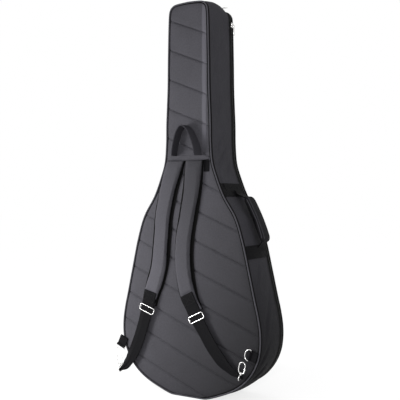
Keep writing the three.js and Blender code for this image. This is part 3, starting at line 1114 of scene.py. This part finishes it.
def neckCradle():
    # a foam block with a round seat for the guitar's neck
    low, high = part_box("neck_cradle")
    seatRadius, seatHeight = 27 * mm, 38 * mm
    middle = Vector(((low.x + high.x) / 2, low.y + seatHeight, (low.z + high.z) / 2))
    profile = [(low.x, low.y), (high.x, low.y), (high.x, high.y)]
    reach = math.sqrt(seatRadius**2 - (middle.y - high.y) ** 2)
    start = math.atan2(high.y - middle.y, reach)
    for i in range(17):
        a = start - (math.pi + 2 * start) * i / 16
        profile.append((middle.x + seatRadius * math.cos(a), middle.y + seatRadius * math.sin(a)))
    profile.append((low.x, high.y))
    mesh = bpy.data.meshes.new("neck_cradle_block")
    mesh.from_pydata([(x, y, low.z) for x, y in profile], [], [list(range(len(profile)))])
    piece = bpy.data.objects.new("neck_cradle_block", mesh)
    scene.collection.objects.link(piece)
    inEditMode(
        piece,
        lambda: bpy.ops.mesh.extrude_region_move(
            TRANSFORM_OT_translate={"value": (0, 0, high.z - low.z)}
        ),
    )
    closeSeams(piece)
    applyModifier(piece, "BEVEL", width=2.5 * mm, segments=3, limit_method="ANGLE")
    polish(piece, liningCloth, "bag", ["neck_cradle"], angle=40)


neckCradle()


def endPinPad():
    low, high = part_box("end_pin_pad")
    pad = block("end_pin_patch", low, high, 1.6 * mm, 3)
    polish(pad, liningCloth, "bag", ["end_pin_pad"], angle=40)


endPinPad()


def tapeBlock(name, node, body):
    # a flat length of webbing lying in a CAD node's place, its face square to y
    low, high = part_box(node)

    def place(u, v):
        bulge = 0.25 * mm * math.sin(math.pi * v)
        return Vector((low.x + (high.x - low.x) * u, low.y - bulge, low.z + (high.z - low.z) * v))

    across = max(4, int((high.x - low.x) / (4 * mm)))
    tape = shapeGrid(name, across, 10, place, (high.x - low.x, high.z - low.z))
    thicken(tape, high.y - low.y)
    applyModifier(tape, "BEVEL", width=0.5 * mm, segments=2, limit_method="ANGLE")
    swapMap(tape)
    return polish(tape, blackWebbing, body, [node], angle=50)


def swapMap(piece):
    # turns the map a quarter, where a webbing runs along x
    for spot in piece.data.uv_layers.active.data:
        spot.uv = (spot.uv[1], spot.uv[0])


tapeBlock("neck_strap_tape", "neck_strap", "neck_strap")
tapeBlock("neck_strap_root", "neck_strap_anchor", "bag")


def patchOnPanel(name, node, low, high, material, lift):
    # a flat patch that follows the quilted panel
    def place(u, v):
        x, z = (low[0] + (high[0] - low[0]) * u) * mm, (low[1] + (high[1] - low[1]) * v) * mm
        return quiltedFace(x, z, lift)

    size = ((high[0] - low[0]) * mm, (high[1] - low[1]) * mm)
    patch = shapeGrid(name, max(8, int(size[0] / (3 * mm))), 10, place, size)
    faceTo(patch, (0, -1, 0))
    thicken(patch, 2.0 * mm)
    applyModifier(patch, "BEVEL", width=0.5 * mm, segments=2, limit_method="ANGLE")
    return polish(patch, material, "bag", [node], angle=60)


patchOnPanel("yoke_binding", "yoke_band", (-66, 657), (66, 673), shellCloth, 0.7 * mm)
patchOnPanel("yoke_tab", "yoke_side_tab", (52, 627), (69, 658), blackWebbing, 1.2 * mm)


def yokeSeam():
    # the sewn lower edge of the yoke, a little lower at its middle, its seam shade painted as a near-black
    # cord
    half = 66
    points = []
    for x in range(-half, half + 1, 4):
        z = 659.6 - 3 * (1 - (x / half) ** 2)
        points.append(quiltedFace(x * mm, z * mm, 0.8 * mm))
    polish(wire("yoke_seam", points, 1.2 * mm, sides=2), grooveShadeCloth, "bag")


yokeSeam()

# Shoulder straps

print("making the shoulder straps")
straps = {
    "left": {
        "pad": [(-36, 658), (-60, 580), (-77, 505), (-84, 435), (-94, 355), (-117, 284)],
        "buckle": (-129, 238),
        "webbing": [
            (-118, 272), (-129, 238), (-143, 200), (-164, 142), (-186, 98), (-206, 69), (-230, 50),
        ],
        "eye": (-225, 54),
        "nose": (-229, 98),
        "widths": [40, 40, 40, 40, 40, 38, 30, 10],
        "turnFrom": 0.6,
        "tab": [(-217.5, 146), (-228.5, 121)],
        "creases": [(0.30, 0.10, 1.3), (0.345, 0.0, 1.1), (0.66, -0.1, 0.5), (0.8, 0.1, 0.5)],
    },
    "right": {
        "pad": [(24, 658), (16, 577), (4, 507), (-8, 437), (-9, 367), (6, 284)],
        "buckle": (35, 226),
        "webbing": [(21, 258), (35, 226), (53, 194), (80, 152), (112, 114), (140, 93), (175, 78)],
        "eye": (169, 79.3),
        "nose": (178.6, 122),
        "widths": [40, 40, 40, 40, 38, 26, 12],
        "turnFrom": 0.4,
        "tab": [(213, 133), (194, 139)],
        "creases": [
            (0.33, 0.2, 0.8), (0.55, 0.05, 0.9), (0.61, -0.3, 1.4), (0.65, 0.0, 0.9), (0.2, 0.0, 0.5),
        ],
    },
}
strapPad = {
    "front": -88,
    "back": -76.2,
    "widths": [54, 57, 57, 57, 57, 56, 46],
    "under": 16,
    "overBuckle": 14,
    "tailFront": -86.4,
    "tailRun": 14,
    "clothDepth": 4.0 * mm,
    "lip": 1.6,
    "edge": 3.2,
    "squareness": 1.35,
    "creaseStrength": 1.5,
    "along": 90,
    "puff": {"voxel": 4 * mm, "pressure": 3.0, "cap": 5 * mm, "shrink": -0.01, "stiff": 2.0},
    "taper": 0.6 * mm,
}


def shoulderPad(side, route):
    # the padding runs on up under the yoke and down to just above the buckle
    first, second, last = (Vector(route["pad"][i]) for i in (0, 1, -1))
    buckle = Vector(route["buckle"])
    above = first + (first - second).normalized() * strapPad["under"]
    below = buckle + (last - buckle).normalized() * strapPad["overBuckle"]
    line = smoothLine(flat([above, *route["pad"][1:], below]), 4 * mm)
    ceiling = (route["pad"][0][1] - 0.5) * mm
    frontY, backY = strapPad["front"] * mm, strapPad["back"] * mm
    middleY, halfThick = (frontY + backY) / 2, (backY - frontY) / 2 - strapPad["taper"]

    def place(u, v):
        centre, direction = along(line, v)
        across = Vector((direction.z, 0, -direction.x))
        half = between(strapPad["widths"], v) * mm / 2 - strapPad["taper"]
        a = 2 * math.pi * u
        edge = strapPad["edge"] * mm
        closing = min(1.0, 0.35 + min(v, 1 - v) * lengthOf(line) / (6 * mm))
        cx, cy = math.cos(a) * strapPad["squareness"], math.sin(a)
        wide = max(-1.0, min(1.0, cx)) * half
        rounding = min(1.0, max(0.0, (half - abs(wide)) / edge))
        thick = halfThick * math.sqrt(1 - (1 - rounding) ** 2) if rounding < 1 else halfThick
        if abs(cx) >= 1:
            thick *= abs(cy) / math.sqrt(1 - 1 / strapPad["squareness"] ** 2)
            thick = min(thick, halfThick)
        y = middleY - math.copysign(thick, cy) * closing if cy else middleY
        spot = centre + across * wide + Vector((0, y, 0))
        spot.z = min(spot.z, ceiling)
        return spot

    pad = shapeGrid(side + "_padded_strap", 40, strapPad["along"], place, (0.14, lengthOf(line)))
    closeSeams(pad)
    capEnds(pad)
    puffUp(pad, strapPad["puff"])
    pressCreases(pad, line, route["creases"])
    subdivide(pad, 1)
    keepWithin(pad, frontY - 3 * mm, backY)
    flattenTail(pad, last * mm, (buckle - last).normalized())
    pad.data.materials.append(padCloth)
    pad.data.materials.append(meshCloth)
    # the grey cloth covers only the front; the sides and back are black spacer mesh, carried far up the
    # sides partly as painted shadow along the strap's edges
    for face in pad.data.polygons:
        face.material_index = 1 if face.center.y > frontY + strapPad["clothDepth"] else 0
    polish(pad, padCloth, None, [side + "_shoulder_pad"])
    top = line[0]
    start, end = (top.x, middleY, top.z), (top.x, middleY, top.z - 40 * mm)
    side + "_strap"
    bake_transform(pad)
    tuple(start)
    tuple(end)
    # the black mesh backing stands out in a lip past the pad's edges: partly the bound backing, partly a
    # painted shadow beside the strap
    lipWidths = [w + 2 * strapPad["lip"] for w in strapPad["widths"]]
    backing = layStrap(side + "_strap_backing_and_shade", line, lipWidths, lambda u, v: backY - 2.8 * mm, 2.2 * mm)
    for vertex in backing.data.vertices:
        vertex.co.z = min(vertex.co.z, ceiling)
    applyModifier(backing, "BEVEL", width=0.8 * mm, segments=2, limit_method="ANGLE")
    polish(backing, meshCloth, None, angle=50)
    side + "_strap"
    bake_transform(backing)
    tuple(start)
    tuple(end)


def flattenTail(pad, end, down):
    # below the doubled webbing's top the pad is pressed flat behind it
    for vertex in pad.data.vertices:
        run = (vertex.co.x - end.x) * down.x + (vertex.co.z - end.y) * down.y
        share = min(1.0, max(0.0, 1 + run / (strapPad["tailRun"] * mm)))
        pressed = share * share * (3 - 2 * share)
        low = strapPad["tailFront"] * mm
        if vertex.co.y < low:
            vertex.co.y += (low - vertex.co.y) * pressed


def capEnds(piece):
    # closes the open rings at both ends of a tube
    only(piece)
    bpy.ops.object.mode_set(mode="EDIT")
    bpy.ops.mesh.select_all(action="DESELECT")
    bpy.ops.mesh.select_mode(type="EDGE")
    bpy.ops.mesh.select_non_manifold(extend=False)
    bpy.ops.mesh.edge_face_add()
    bpy.ops.mesh.select_mode(type="VERT")
    bpy.ops.object.mode_set(mode="OBJECT")
    closeSeams(piece)


def pressCreases(piece, line, creases):
    # sewn and pressed lines across the strap's front
    tree = placesIn(line)
    length = lengthOf(line)
    middle = sum(v.co.y for v in piece.data.vertices) / len(piece.data.vertices)
    for vertex in piece.data.vertices:
        co = vertex.co
        if co.y > middle:
            continue
        i = tree.find((co.x, 0, co.z))[1]
        centre, direction = along(line, i / (len(line) - 1))
        offset = Vector((co.x, 0, co.z)) - centre
        across = offset.dot(Vector((direction.z, 0, -direction.x)))
        run = i / (len(line) - 1) * length + offset.dot(direction)
        for share, slope, deep in creases:
            gap = run - share * length - slope * across
            co.y += strapPad["creaseStrength"] * deep * mm * math.exp(-((gap / (2.6 * mm)) ** 2))
            co.y -= 0.35 * deep * mm * math.exp(-(((abs(gap) - 7 * mm) / (4 * mm)) ** 2))
        co.y += 0.35 * mm * noise.noise(Vector((co.x / (14 * mm), 2.2, co.z / (9 * mm))))


def keepWithin(piece, low, high):
    for vertex in piece.data.vertices:
        vertex.co.y = min(max(vertex.co.y, low), high)


def layStrap(name, line, widths, yAt, thickness, across=14):
    # flat webbing along a line, its face towards -y
    def place(u, v):
        centre, direction = along(line, v)
        side = Vector((direction.z, 0, -direction.x))
        half = between(widths, v) * mm / 2
        return centre + side * (2 * u - 1) * half + Vector((0, yAt(u, v), 0))

    rows = max(4, len(line) - 1)
    strap = shapeGrid(name, across, rows, place, (max(widths) * mm, lengthOf(line)))
    faceTo(strap, (0, -1, 0))
    thicken(strap, thickness)
    return strap


def strapPatch(side, route):
    # a doubled webbing end, sewn with a box and cross, that holds the buckle
    end = Vector((route["pad"][-1][0], 0, route["pad"][-1][1]))
    buckle = Vector((route["buckle"][0], 0, route["buckle"][1]))
    up = (end - buckle).normalized()
    line = evenly([p * mm for p in (end + up * 5, buckle + up * 8, buckle - up * 6)], 2 * mm)
    frontY = strapPad["front"] * mm - 2.6 * mm

    def yAt(u, v):
        dip = 2.4 * mm * min(1, v / 0.5)
        return frontY + dip - 0.5 * mm * math.sin(math.pi * u) - 0.4 * mm * math.sin(v * math.pi)

    patch = layStrap(side + "_buckle_tab", line, [41, 41, 41], yAt, 2.2 * mm)
    applyModifier(patch, "BEVEL", width=0.6 * mm, segments=2, limit_method="ANGLE")
    polish(patch, blackWebbing, side + "_strap", [side + "_strap_patch"], angle=60)
    across = Vector((up.z, 0, -up.x))
    corner = {
        (i, j): (end + up * (26 * j - 24) + across * (i * 34 - 17)) * mm + Vector((0, frontY + 0.1 * mm, 0))
        for i in (0, 1)
        for j in (0, 1)
    }
    lines = [
        [corner[0, 0], corner[1, 0]], [corner[1, 0], corner[1, 1]], [corner[1, 1], corner[0, 1]],
        [corner[0, 1], corner[0, 0]], [corner[0, 0], corner[1, 1]], [corner[1, 0], corner[0, 1]],
    ]
    sew(side + "_box_stitch", lines, (0, -1, 0), side + "_strap")


buckleShape = {"width": 52, "length": 21, "wire": 1.3, "corner": 5, "y": -87}


def slideBuckle(side, route):
    w, l, r = buckleShape["width"] / 2 - 1.7, buckleShape["length"] / 2 - 1.7, buckleShape["corner"]
    points = []
    for quarter, (cx, cz) in enumerate(((w - r, l - r), (r - w, l - r), (r - w, r - l), (w - r, r - l))):
        for i in range(7):
            a = math.radians(90 * quarter + 15 * i)
            points.append(Vector(((cx + r * math.cos(a)) * mm, 0, (cz + r * math.sin(a)) * mm)))
    loop = wire(side + "_loop", points, buckleShape["wire"] * mm, closed=True, sides=3)
    for vertex in loop.data.vertices:
        if abs(vertex.co.x) < (w - 3) * mm:
            vertex.co.y -= 2.2 * mm
    bent = [(-w, 0), (3 - w, 2.6), (w - 3, 2.6), (w, 0)]
    bar = wire(side + "_bar", [Vector((x, y, 0)) * mm for x, y in bent], 1.3 * mm)
    buckle = joined(side + "_slide_buckle", loop, bar)
    frameMatrix = sideFrame(route["webbing"][2], route["webbing"][0], 0)
    x, z = route["buckle"]
    frameMatrix.translation = Vector((x, buckleShape["y"] - 1.2, z)) * mm
    moved(buckle, frameMatrix)
    polish(buckle, platedSteel, side + "_strap", [side + "_buckle"])


webbing = {"y": -88, "thick": 2.0, "ruffle": 1.8, "lift": 1.5, "turnBack": 8.5}


def lowerWebbing(side, route):
    line = smoothLine(flat(route["webbing"]), 3 * mm)

    def yAt(u, v):
        gather = max(0.0, (v - 0.75) / 0.25)
        ruffle = webbing["ruffle"] * gather * math.cos(6 * math.pi * u)
        start = webbing["lift"] * max(0, 1 - v / 0.12)
        # the edge nearer the bag's middle turns back towards the panel
        turned = min(1.0, max(0.0, (v - 0.12) / 0.2))
        turned *= max(0.0, u - route["turnFrom"]) / (1 - route["turnFrom"])
        wave = 0.5 * math.sin(7 * v)
        return (webbing["y"] + ruffle + start - wave + webbing["turnBack"] * turned) * mm

    thick = webbing["thick"] * mm
    strap = layStrap(side + "_adjusting_webbing", line, route["widths"], yAt, thick, 24)
    polish(strap, blackWebbing, side + "_webbing", [side + "_strap_webbing"], angle=60)


hook = {"eye": 8, "eyeWire": 1.0, "stem": 6, "wire": 1.25, "half": 8.8, "length": 44, "barrel": 3.9}


def ringOf(name, radius, thick, normal="x"):
    bpy.ops.object.select_all(action="DESELECT")
    bpy.ops.mesh.primitive_torus_add(
        major_radius=radius * mm, minor_radius=thick * mm, major_segments=36, minor_segments=10,
        rotation=(0, math.pi / 2, 0) if normal == "x" else (math.pi / 2, 0, 0),
    )
    bpy.ops.object.transform_apply(location=True, rotation=True, scale=True)
    piece = bpy.context.object
    piece.name = piece.data.name = name
    return piece


def turnedBar(name, profile, sides=20):
    # a round part turned about z from (radius, height) pairs
    def place(u, v):
        spot = v * (len(profile) - 1)
        i = min(int(spot), len(profile) - 2)
        r = profile[i][0] + (profile[i + 1][0] - profile[i][0]) * (spot - i)
        h = profile[i][1] + (profile[i + 1][1] - profile[i][1]) * (spot - i)
        a = 2 * math.pi * u
        return Vector((r * math.cos(a), r * math.sin(a), h)) * mm

    piece = shapeGrid(name, sides, len(profile) - 1, place, (0.02, 0.02))
    closeSeams(piece)
    return piece


def snapHook(side, route):
    matrix = sideFrame(route["eye"], route["nose"], -87)
    radius, stemTop = hook["eye"], hook["eye"] + hook["stem"]
    eyeRing = ringOf("eye", radius, hook["eyeWire"])
    stem = turnedBar("stem", [
        (0, radius - 1), (2.2, radius - 1), (2.0, stemTop), (2.9, stemTop + 0.1),
        (2.9, stemTop + 1.4), (2.2, stemTop + 1.9), (0, stemTop + 1.9),
    ])
    eyePiece = moved(joined(side + "_swivel_eye", eyeRing, stem), matrix)
    polish(eyePiece, platedSteel, side + "_hook_eye", [side + "_hook_eye"], angle=40)
    low, high = radius + 2.3, stemTop - 0.5
    b = hook["barrel"]
    barrel = turnedBar("barrel", [
        (2.4, low), (b - 0.5, low), (b, low + 0.6), (b, high - 0.6),
        (b - 0.5, high), (2.4, high), (2.4, low),
    ])
    w, nose = hook["half"], hook["length"] - hook["wire"]
    bowPoints = [
        (-2.8, high - 1.5), (-5.6, high + 0.6), (-w + 0.6, high + 6), (-w, (high + nose) / 2),
        (-w, nose - 9), (-w + 2.4, nose - 3), (0, nose), (w - 2.4, nose - 3), (w, nose - 9), (w, nose - 12),
    ]
    bow = wire("bow", smoothLine(flat(bowPoints), 1.2 * mm), hook["wire"] * mm, sides=4)
    lugPoints = [(2.6, high - 1.5), (w - 2, high + 0.8), (w, high + 4)]
    lug = wire("lug", smoothLine(flat(lugPoints), 1 * mm), 1.7 * mm, sides=3)
    hookPiece = moved(joined(side + "_snap_hook_body", barrel, bow, lug), matrix)
    polish(hookPiece, platedSteel, side + "_snap_hook", [side + "_snap_hook"], angle=50)
    gateLow, gateHigh = high + 5.2, nose - 12.6
    gate = turnedBar("gate", [
        (0, gateLow), (1.7, gateLow), (1.7, gateLow + 2), (1.45, gateLow + 2.6),
        (1.45, gateHigh - 0.6), (1.1, gateHigh), (0, gateHigh),
    ], 14)
    thumb = ringOf("thumb", 1.6, 0.5, "y")
    moved(thumb, Matrix.Translation((0.4 * mm, 0, (gateLow + gateHigh) / 2 * mm)))
    gatePiece = joined(side + "_sprung_gate", gate, thumb)
    moved(gatePiece, matrix @ Matrix.Translation((w * mm, 0, 0)))
    polish(gatePiece, platedSteel, side + "_hook_gate", [side + "_hook_gate"], angle=40)


ringShape = {"width": 34, "depth": 16, "wire": 1.25, "y": -79, "straight": 3, "tabHalf": 13.6}


def dRing(side, route):
    root, fold = route["tab"]
    w, d = ringShape["width"] / 2 - 1.8, ringShape["depth"] - 1.8
    straight = ringShape["straight"]
    bow = [(-w, -1), (-w, -straight)]
    for i in range(1, 12):
        a = math.pi + math.pi * i / 12
        bow.append((w * math.cos(a), -straight + (d - straight) * math.sin(a)))
    bow += [(w, -straight), (w, -1)]
    points = [Vector((x * mm, 0, z * mm)) for x, z in bow]
    corner = [Vector((w - 1.2, 0, 0)) * mm, Vector((1.2 - w, 0, 0)) * mm]
    ring = wire(side + "_ring", points + corner, ringShape["wire"] * mm, closed=True, sides=4)
    ring.name = ring.data.name = side + "_steel_ring"
    moved(ring, sideFrame(fold, root, ringShape["y"]))
    polish(ring, platedSteel, side + "_d_ring", [side + "_d_ring"])


def ringTab(side, route):
    # doubled webbing folded round the ring's bar and sewn on the seam
    root, fold = route["tab"]
    length = math.hypot(root[0] - fold[0], root[1] - fold[1])
    lie = -75.3 - ringShape["y"]
    profile = [(lie - 0.2, length + 2), (lie - 0.2, 4)]
    for i in range(9):
        a = math.radians(80 - 32.5 * i)
        profile.append((3.2 * math.sin(a), -3.2 * math.cos(a)))
    profile += [(lie - 2.6, 5), (lie - 2.6, length)]
    line = evenly([Vector((0, y * mm, z * mm)) for y, z in profile], 1.2 * mm)

    def place(u, v):
        return along(line, v)[0] + Vector(((2 * u - 1) * ringShape["tabHalf"] * mm, 0, 0))

    tab = shapeGrid(side + "_ring_tab", 8, len(line) - 1, place, (27 * mm, lengthOf(line)))
    applyModifier(tab, "SOLIDIFY", thickness=1.1 * mm, offset=0)
    closeSeams(tab)
    moved(tab, sideFrame(fold, root, ringShape["y"]))
    polish(tab, blackWebbing, "bag", [side + "_side_tab"], angle=60)


for side, route in straps.items():
    for make in (shoulderPad, strapPatch, slideBuckle, lowerWebbing, snapHook, dRing, ringTab):
        make(side, route)

# Hang loop at the heel of the neck

hangLoop = {
    "points": [
        (-37, 672), (-34, 692), (-27, 718), (-17, 742), (-3, 755),
        (14, 746), (30, 720), (41, 692), (45, 672),
    ],
    "depth": (-75, -103),
    "twist": 20,
    "width": 25 * mm,
    "thick": 3.2 * mm,
    "bendsOver": 16 * mm,
}


def loopOver():
    line = smoothLine(flat(hangLoop["points"]), 3 * mm)

    def place(u, v):
        centre = along(line, v)[0]
        near, far = hangLoop["depth"]
        turn = math.radians(hangLoop["twist"]) * v
        out = (far - near) * u * mm
        return centre + Vector((out * math.sin(turn), near * mm + out * math.cos(turn), 0))

    loop = shapeGrid("hanging_loop", 8, len(line) - 1, place, (hangLoop["width"], lengthOf(line)))
    applyModifier(loop, "SOLIDIFY", thickness=hangLoop["thick"], offset=0)
    closeSeams(loop)
    applyModifier(loop, "BEVEL", width=1.0 * mm, segments=3, limit_method="ANGLE")
    polish(loop, loopWebbing, None, ["hang_loop"], angle=50)
    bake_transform(loop)


loopOver()

# Carry handle on the gusset

print("making the carry handle")
handle = {
    "upper": 558, "lower": 389, "depth": 36, "y": 18, "rise": 27.5,
    "gripWidth": 60, "gripTop": 62, "gripBottom": -74, "gripThick": 12, "corner": 16,
    "welts": (-0.86, -0.5), "foot": 77, "slope": 23.86, "middle": (142.3, 491.5), "bends": (6, 19),
    "strapWidth": 38, "strapThick": 2.4, "bandLift": 2.0, "bandThick": 1.6, "weltRadius": 1.3,
}


def bandAcross(name, node, low):
    # webbing sewn across the gusset from seam to zipper
    startShare = sideShare(low)
    endShare = sideShare(low + handle["depth"])

    def place(u, v):
        share = startShare + (endShare - startShare) * u
        across = 0.01 + 0.98 * (1 - v)
        spot = gussetPoint(share, across)
        _, outward = rim(share)
        return spot + outward * handle["bandLift"] * mm

    width = gusset["front"] - gusset["back"]
    band = shapeGrid(name, 12, 40, place, (handle["depth"] * mm, width))
    thicken(band, handle["bandThick"] * mm)
    polish(band, blackWebbing, "bag", [node], angle=60)


def sideShare(z):
    # the share of the outline at a height on the right side
    best = min((abs(p.z - z * mm), i) for i, p in enumerate(outline[: len(outline) // 2]))
    return best[1] / len(outline)


bandAcross("upper_band", "upper_handle_band", handle["upper"])
bandAcross("lower_band", "lower_handle_band", handle["lower"])


def handleFrame():
    slope = math.radians(handle["slope"])
    middle = Vector((handle["middle"][0], handle["y"], handle["middle"][1])) * mm
    return Matrix.Translation(middle) @ Matrix.Rotation(-slope, 4, "Y")


def gripAndWebbing():
    matrix = handleFrame()
    foot, top, bottom = handle["foot"], handle["gripTop"], handle["gripBottom"]
    half, centre = (top - bottom) / 2, (top + bottom) / 2
    out = handle["rise"]
    thick = handle["gripThick"] / 2
    line = smoothLine(
        [Vector((x, 0, z)) * mm for x, z in (
            (3.5, foot + 14), (6, foot + 2), (15, top + 6), (out - 4, top - 3), (out - 2, top - 30),
            (out - 2, bottom + 30), (out - 4, bottom + 4), (16, bottom - 2), (6.5, 1 - foot - 6),
            (3.5, -foot - 16),
        )], 3 * mm)

    def place(u, v):
        return along(line, v)[0] + Vector((0, (0.5 - u) * handle["strapWidth"] * mm, 0))

    size = (handle["strapWidth"] * mm, lengthOf(line))
    core = shapeGrid("handle_strap", 10, len(line) - 1, place, size)
    applyModifier(core, "SOLIDIFY", thickness=handle["strapThick"] * mm, offset=0)
    closeSeams(core)
    moved(core, matrix)
    polish(core, blackWebbing, None, ["handle_webbing"], angle=60)
    rooted, free = (matrix @ (Vector((x, 0, 0)) * mm) for x in handle["bends"])
    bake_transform(core)
    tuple(rooted)
    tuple(free)

    def gripPlace(u, v):
        # a flat padded wrap, closed round the webbing
        a = 2 * math.pi * u
        c, s = math.cos(a), math.sin(a)
        wide = math.copysign(abs(c) ** 0.35, c) * (handle["gripWidth"] / 2 - 1.0)
        tall = math.copysign(abs(s) ** 0.55, s) * (thick - 1.0)
        z = centre + (2 * v - 1) * (half - 1.0)
        fromEnd = min(v, 1 - v) * 2 * half
        closing = min(1.0, 0.55 + 0.45 * fromEnd / 5)
        corner = max(0.0, 1 - fromEnd / handle["corner"])
        wide *= 1 - 0.45 * corner**2
        droop = 2.2 * (1 - (2 * v - 1) ** 2)
        return Vector((out + droop - 2.0 + tall * closing, wide, z)) * mm

    grip = shapeGrid("padded_grip", 48, 40, gripPlace, (0.13, 0.136))
    closeSeams(grip)
    capEnds(grip)
    puffUp(grip, {"voxel": 3.5 * mm, "pressure": 3.5, "cap": 4 * mm, "shrink": -0.02, "stiff": 1.0})
    subdivide(grip, 1)
    welts = []
    for share in handle["welts"]:
        points = []
        for z in range(bottom + 6, top - 5, 4):
            start = Vector((out + 40, share * handle["gripWidth"] / 2, z)) * mm
            hit, spot, _, _ = grip.ray_cast(start, Vector((-1, 0, 0)))
            if hit:
                points.append(spot)
        welts.append(wire("welt", points, handle["weltRadius"] * mm, sides=2))
    moved(grip, matrix)
    polish(grip, gripCloth, "carry_handle", ["handle_grip"])
    welt = moved(joined("grip_welts", *welts), matrix)
    polish(welt, pipingCloth, "carry_handle")


gripAndWebbing()

# Zipper sliders and pulls

print("adding the sliders")


def metalNode(name):
    # a CAD metal piece in its place, with softened edges
    node = frame["nodes"][name]
    piece = bpy.data.objects.new(name + "_casting", node.data.copy())
    scene.collection.objects.link(piece)
    closeSeams(piece, 0.00001)
    inEditMode(piece, lambda: bpy.ops.mesh.dissolve_limited(angle_limit=math.radians(1)))
    applyModifier(
        piece, "BEVEL", width=0.55 * mm, segments=2, limit_method="ANGLE", use_clamp_overlap=True
    )
    piece.data.materials.clear()
    return polish(piece, platedSteel, node["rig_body"], [name], angle=35)


for sliderName in ("side_zipper", "top_zipper", "pocket"):
    metalNode(sliderName + "_slider")
    metalNode(sliderName + "_pull")

# Accessory pocket on the lid

print("adding the pocket")
pocketLow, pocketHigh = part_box("pocket_panel")
pocketShape = {
    "squareness": 5,
    "wallShare": 0.35,
    "wallLean": 2.0 * mm,
    "faceRise": 0.14,
    "wave": 0.8 * mm,
    "slitHalf": 120 * mm,
    "slitDepth": 2.4 * mm,
    "shell": 1.6 * mm,
}


def pocket():
    middle = (pocketLow + pocketHigh) / 2
    size = pocketHigh - pocketLow
    low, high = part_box("pocket_zipper_tape")
    slitZ = (low.z + high.z) / 2

    def place(u, v):
        # v is 0 on the lid and 1 at the middle of the pocket's face
        a = 2 * math.pi * u
        half = Vector((size.x / 2, 0, size.z / 2))
        c, s = math.cos(a), math.sin(a)
        power, wallShare = pocketShape["squareness"], pocketShape["wallShare"]
        stretch = 1 / (abs(c) ** power + abs(s) ** power) ** (1 / power)
        wall = min(1.0, v / wallShare)
        face = max(0.0, (v - wallShare) / (1 - wallShare))
        inward = pocketShape["wallLean"] * wall**2
        reach = 1 - face
        x = c * stretch * (half.x - inward) * reach
        z = s * stretch * (half.z - inward) * reach
        rise = size.y * (1 - (1 - wall) ** 2.2) * (1 - pocketShape["faceRise"])
        rise += size.y * pocketShape["faceRise"] * math.sin(math.pi / 2 * face)
        wave = pocketShape["wave"] * noise.noise(Vector((x / (50 * mm), 3.0, z / (50 * mm))))
        return Vector((middle.x + x, pocketLow.y + 0.4 * mm + rise + wave * wall, middle.z + z))

    piece = shapeGrid("accessory_pocket", 160, 60, place, (0.8, 0.2))
    closeSeams(piece, 0.0001)
    faceTo(piece, (0, 1, 0))
    for vertex in piece.data.vertices:
        near = abs(vertex.co.z - slitZ)
        if abs(vertex.co.x) < pocketShape["slitHalf"] and vertex.co.y > pocketHigh.y - 8 * mm:
            vertex.co.y -= pocketShape["slitDepth"] * math.exp(-((near / (7 * mm)) ** 2))
    thicken(piece, pocketShape["shell"])
    mesh = piece.data
    weave = mesh.uv_layers.active.data
    for loop in mesh.loops:
        co = mesh.vertices[loop.vertex_index].co
        weave[loop.index].uv = (co.x + co.y, co.z)
    polish(piece, shellCloth, "lid", ["pocket_panel"])

    def tapePlace(u, v):
        return Vector((high.x + (low.x - high.x) * u, high.y - 1.6 * mm, low.z + (high.z - low.z) * v))

    tape = shapeGrid("pocket_tape", 60, 6, tapePlace, (high.x - low.x, high.z - low.z))
    thicken(tape, 1.0 * mm)
    polish(tape, zipperTape, "lid", ["pocket_zipper_tape"])
    bpy.ops.object.select_all(action="DESELECT")
    bpy.ops.mesh.primitive_cylinder_add(vertices=6, radius=zipper["tooth"], depth=3.4 * mm)
    tooth = bpy.context.object
    pitch = zipper["pocketPitch"]
    spots = []
    for i in range(int((high.x - low.x) / pitch)):
        z = slitZ + (-1) ** i * mm
        spots.append(Matrix.Translation((low.x + (i + 0.5) * pitch, high.y - 1.3 * mm, z)))
    polish(stamp("pocket_coil", tooth, spots), zipperCoil, "lid")


pocket()

# Floor

bpy.ops.object.select_all(action="DESELECT")
bpy.ops.mesh.primitive_circle_add(
    vertices=96, radius=studio["floorWidth"] / 2, fill_type="NGON", location=(0, 0, 0)
)
floor = bpy.context.object
floor.name = "studio_floor"
floorLooks = {
    "Roughness": 0.9, "Base Color": grey(0.25), "Specular IOR Level": 0.0,
    "Emission Color": (1, 1, 1, 1), "Emission Strength": studio["floorGlow"],
}
floor.data.materials.append(newMaterial("pale_floor", floorLooks)[0])
floor.location.z = -0.2 * mm
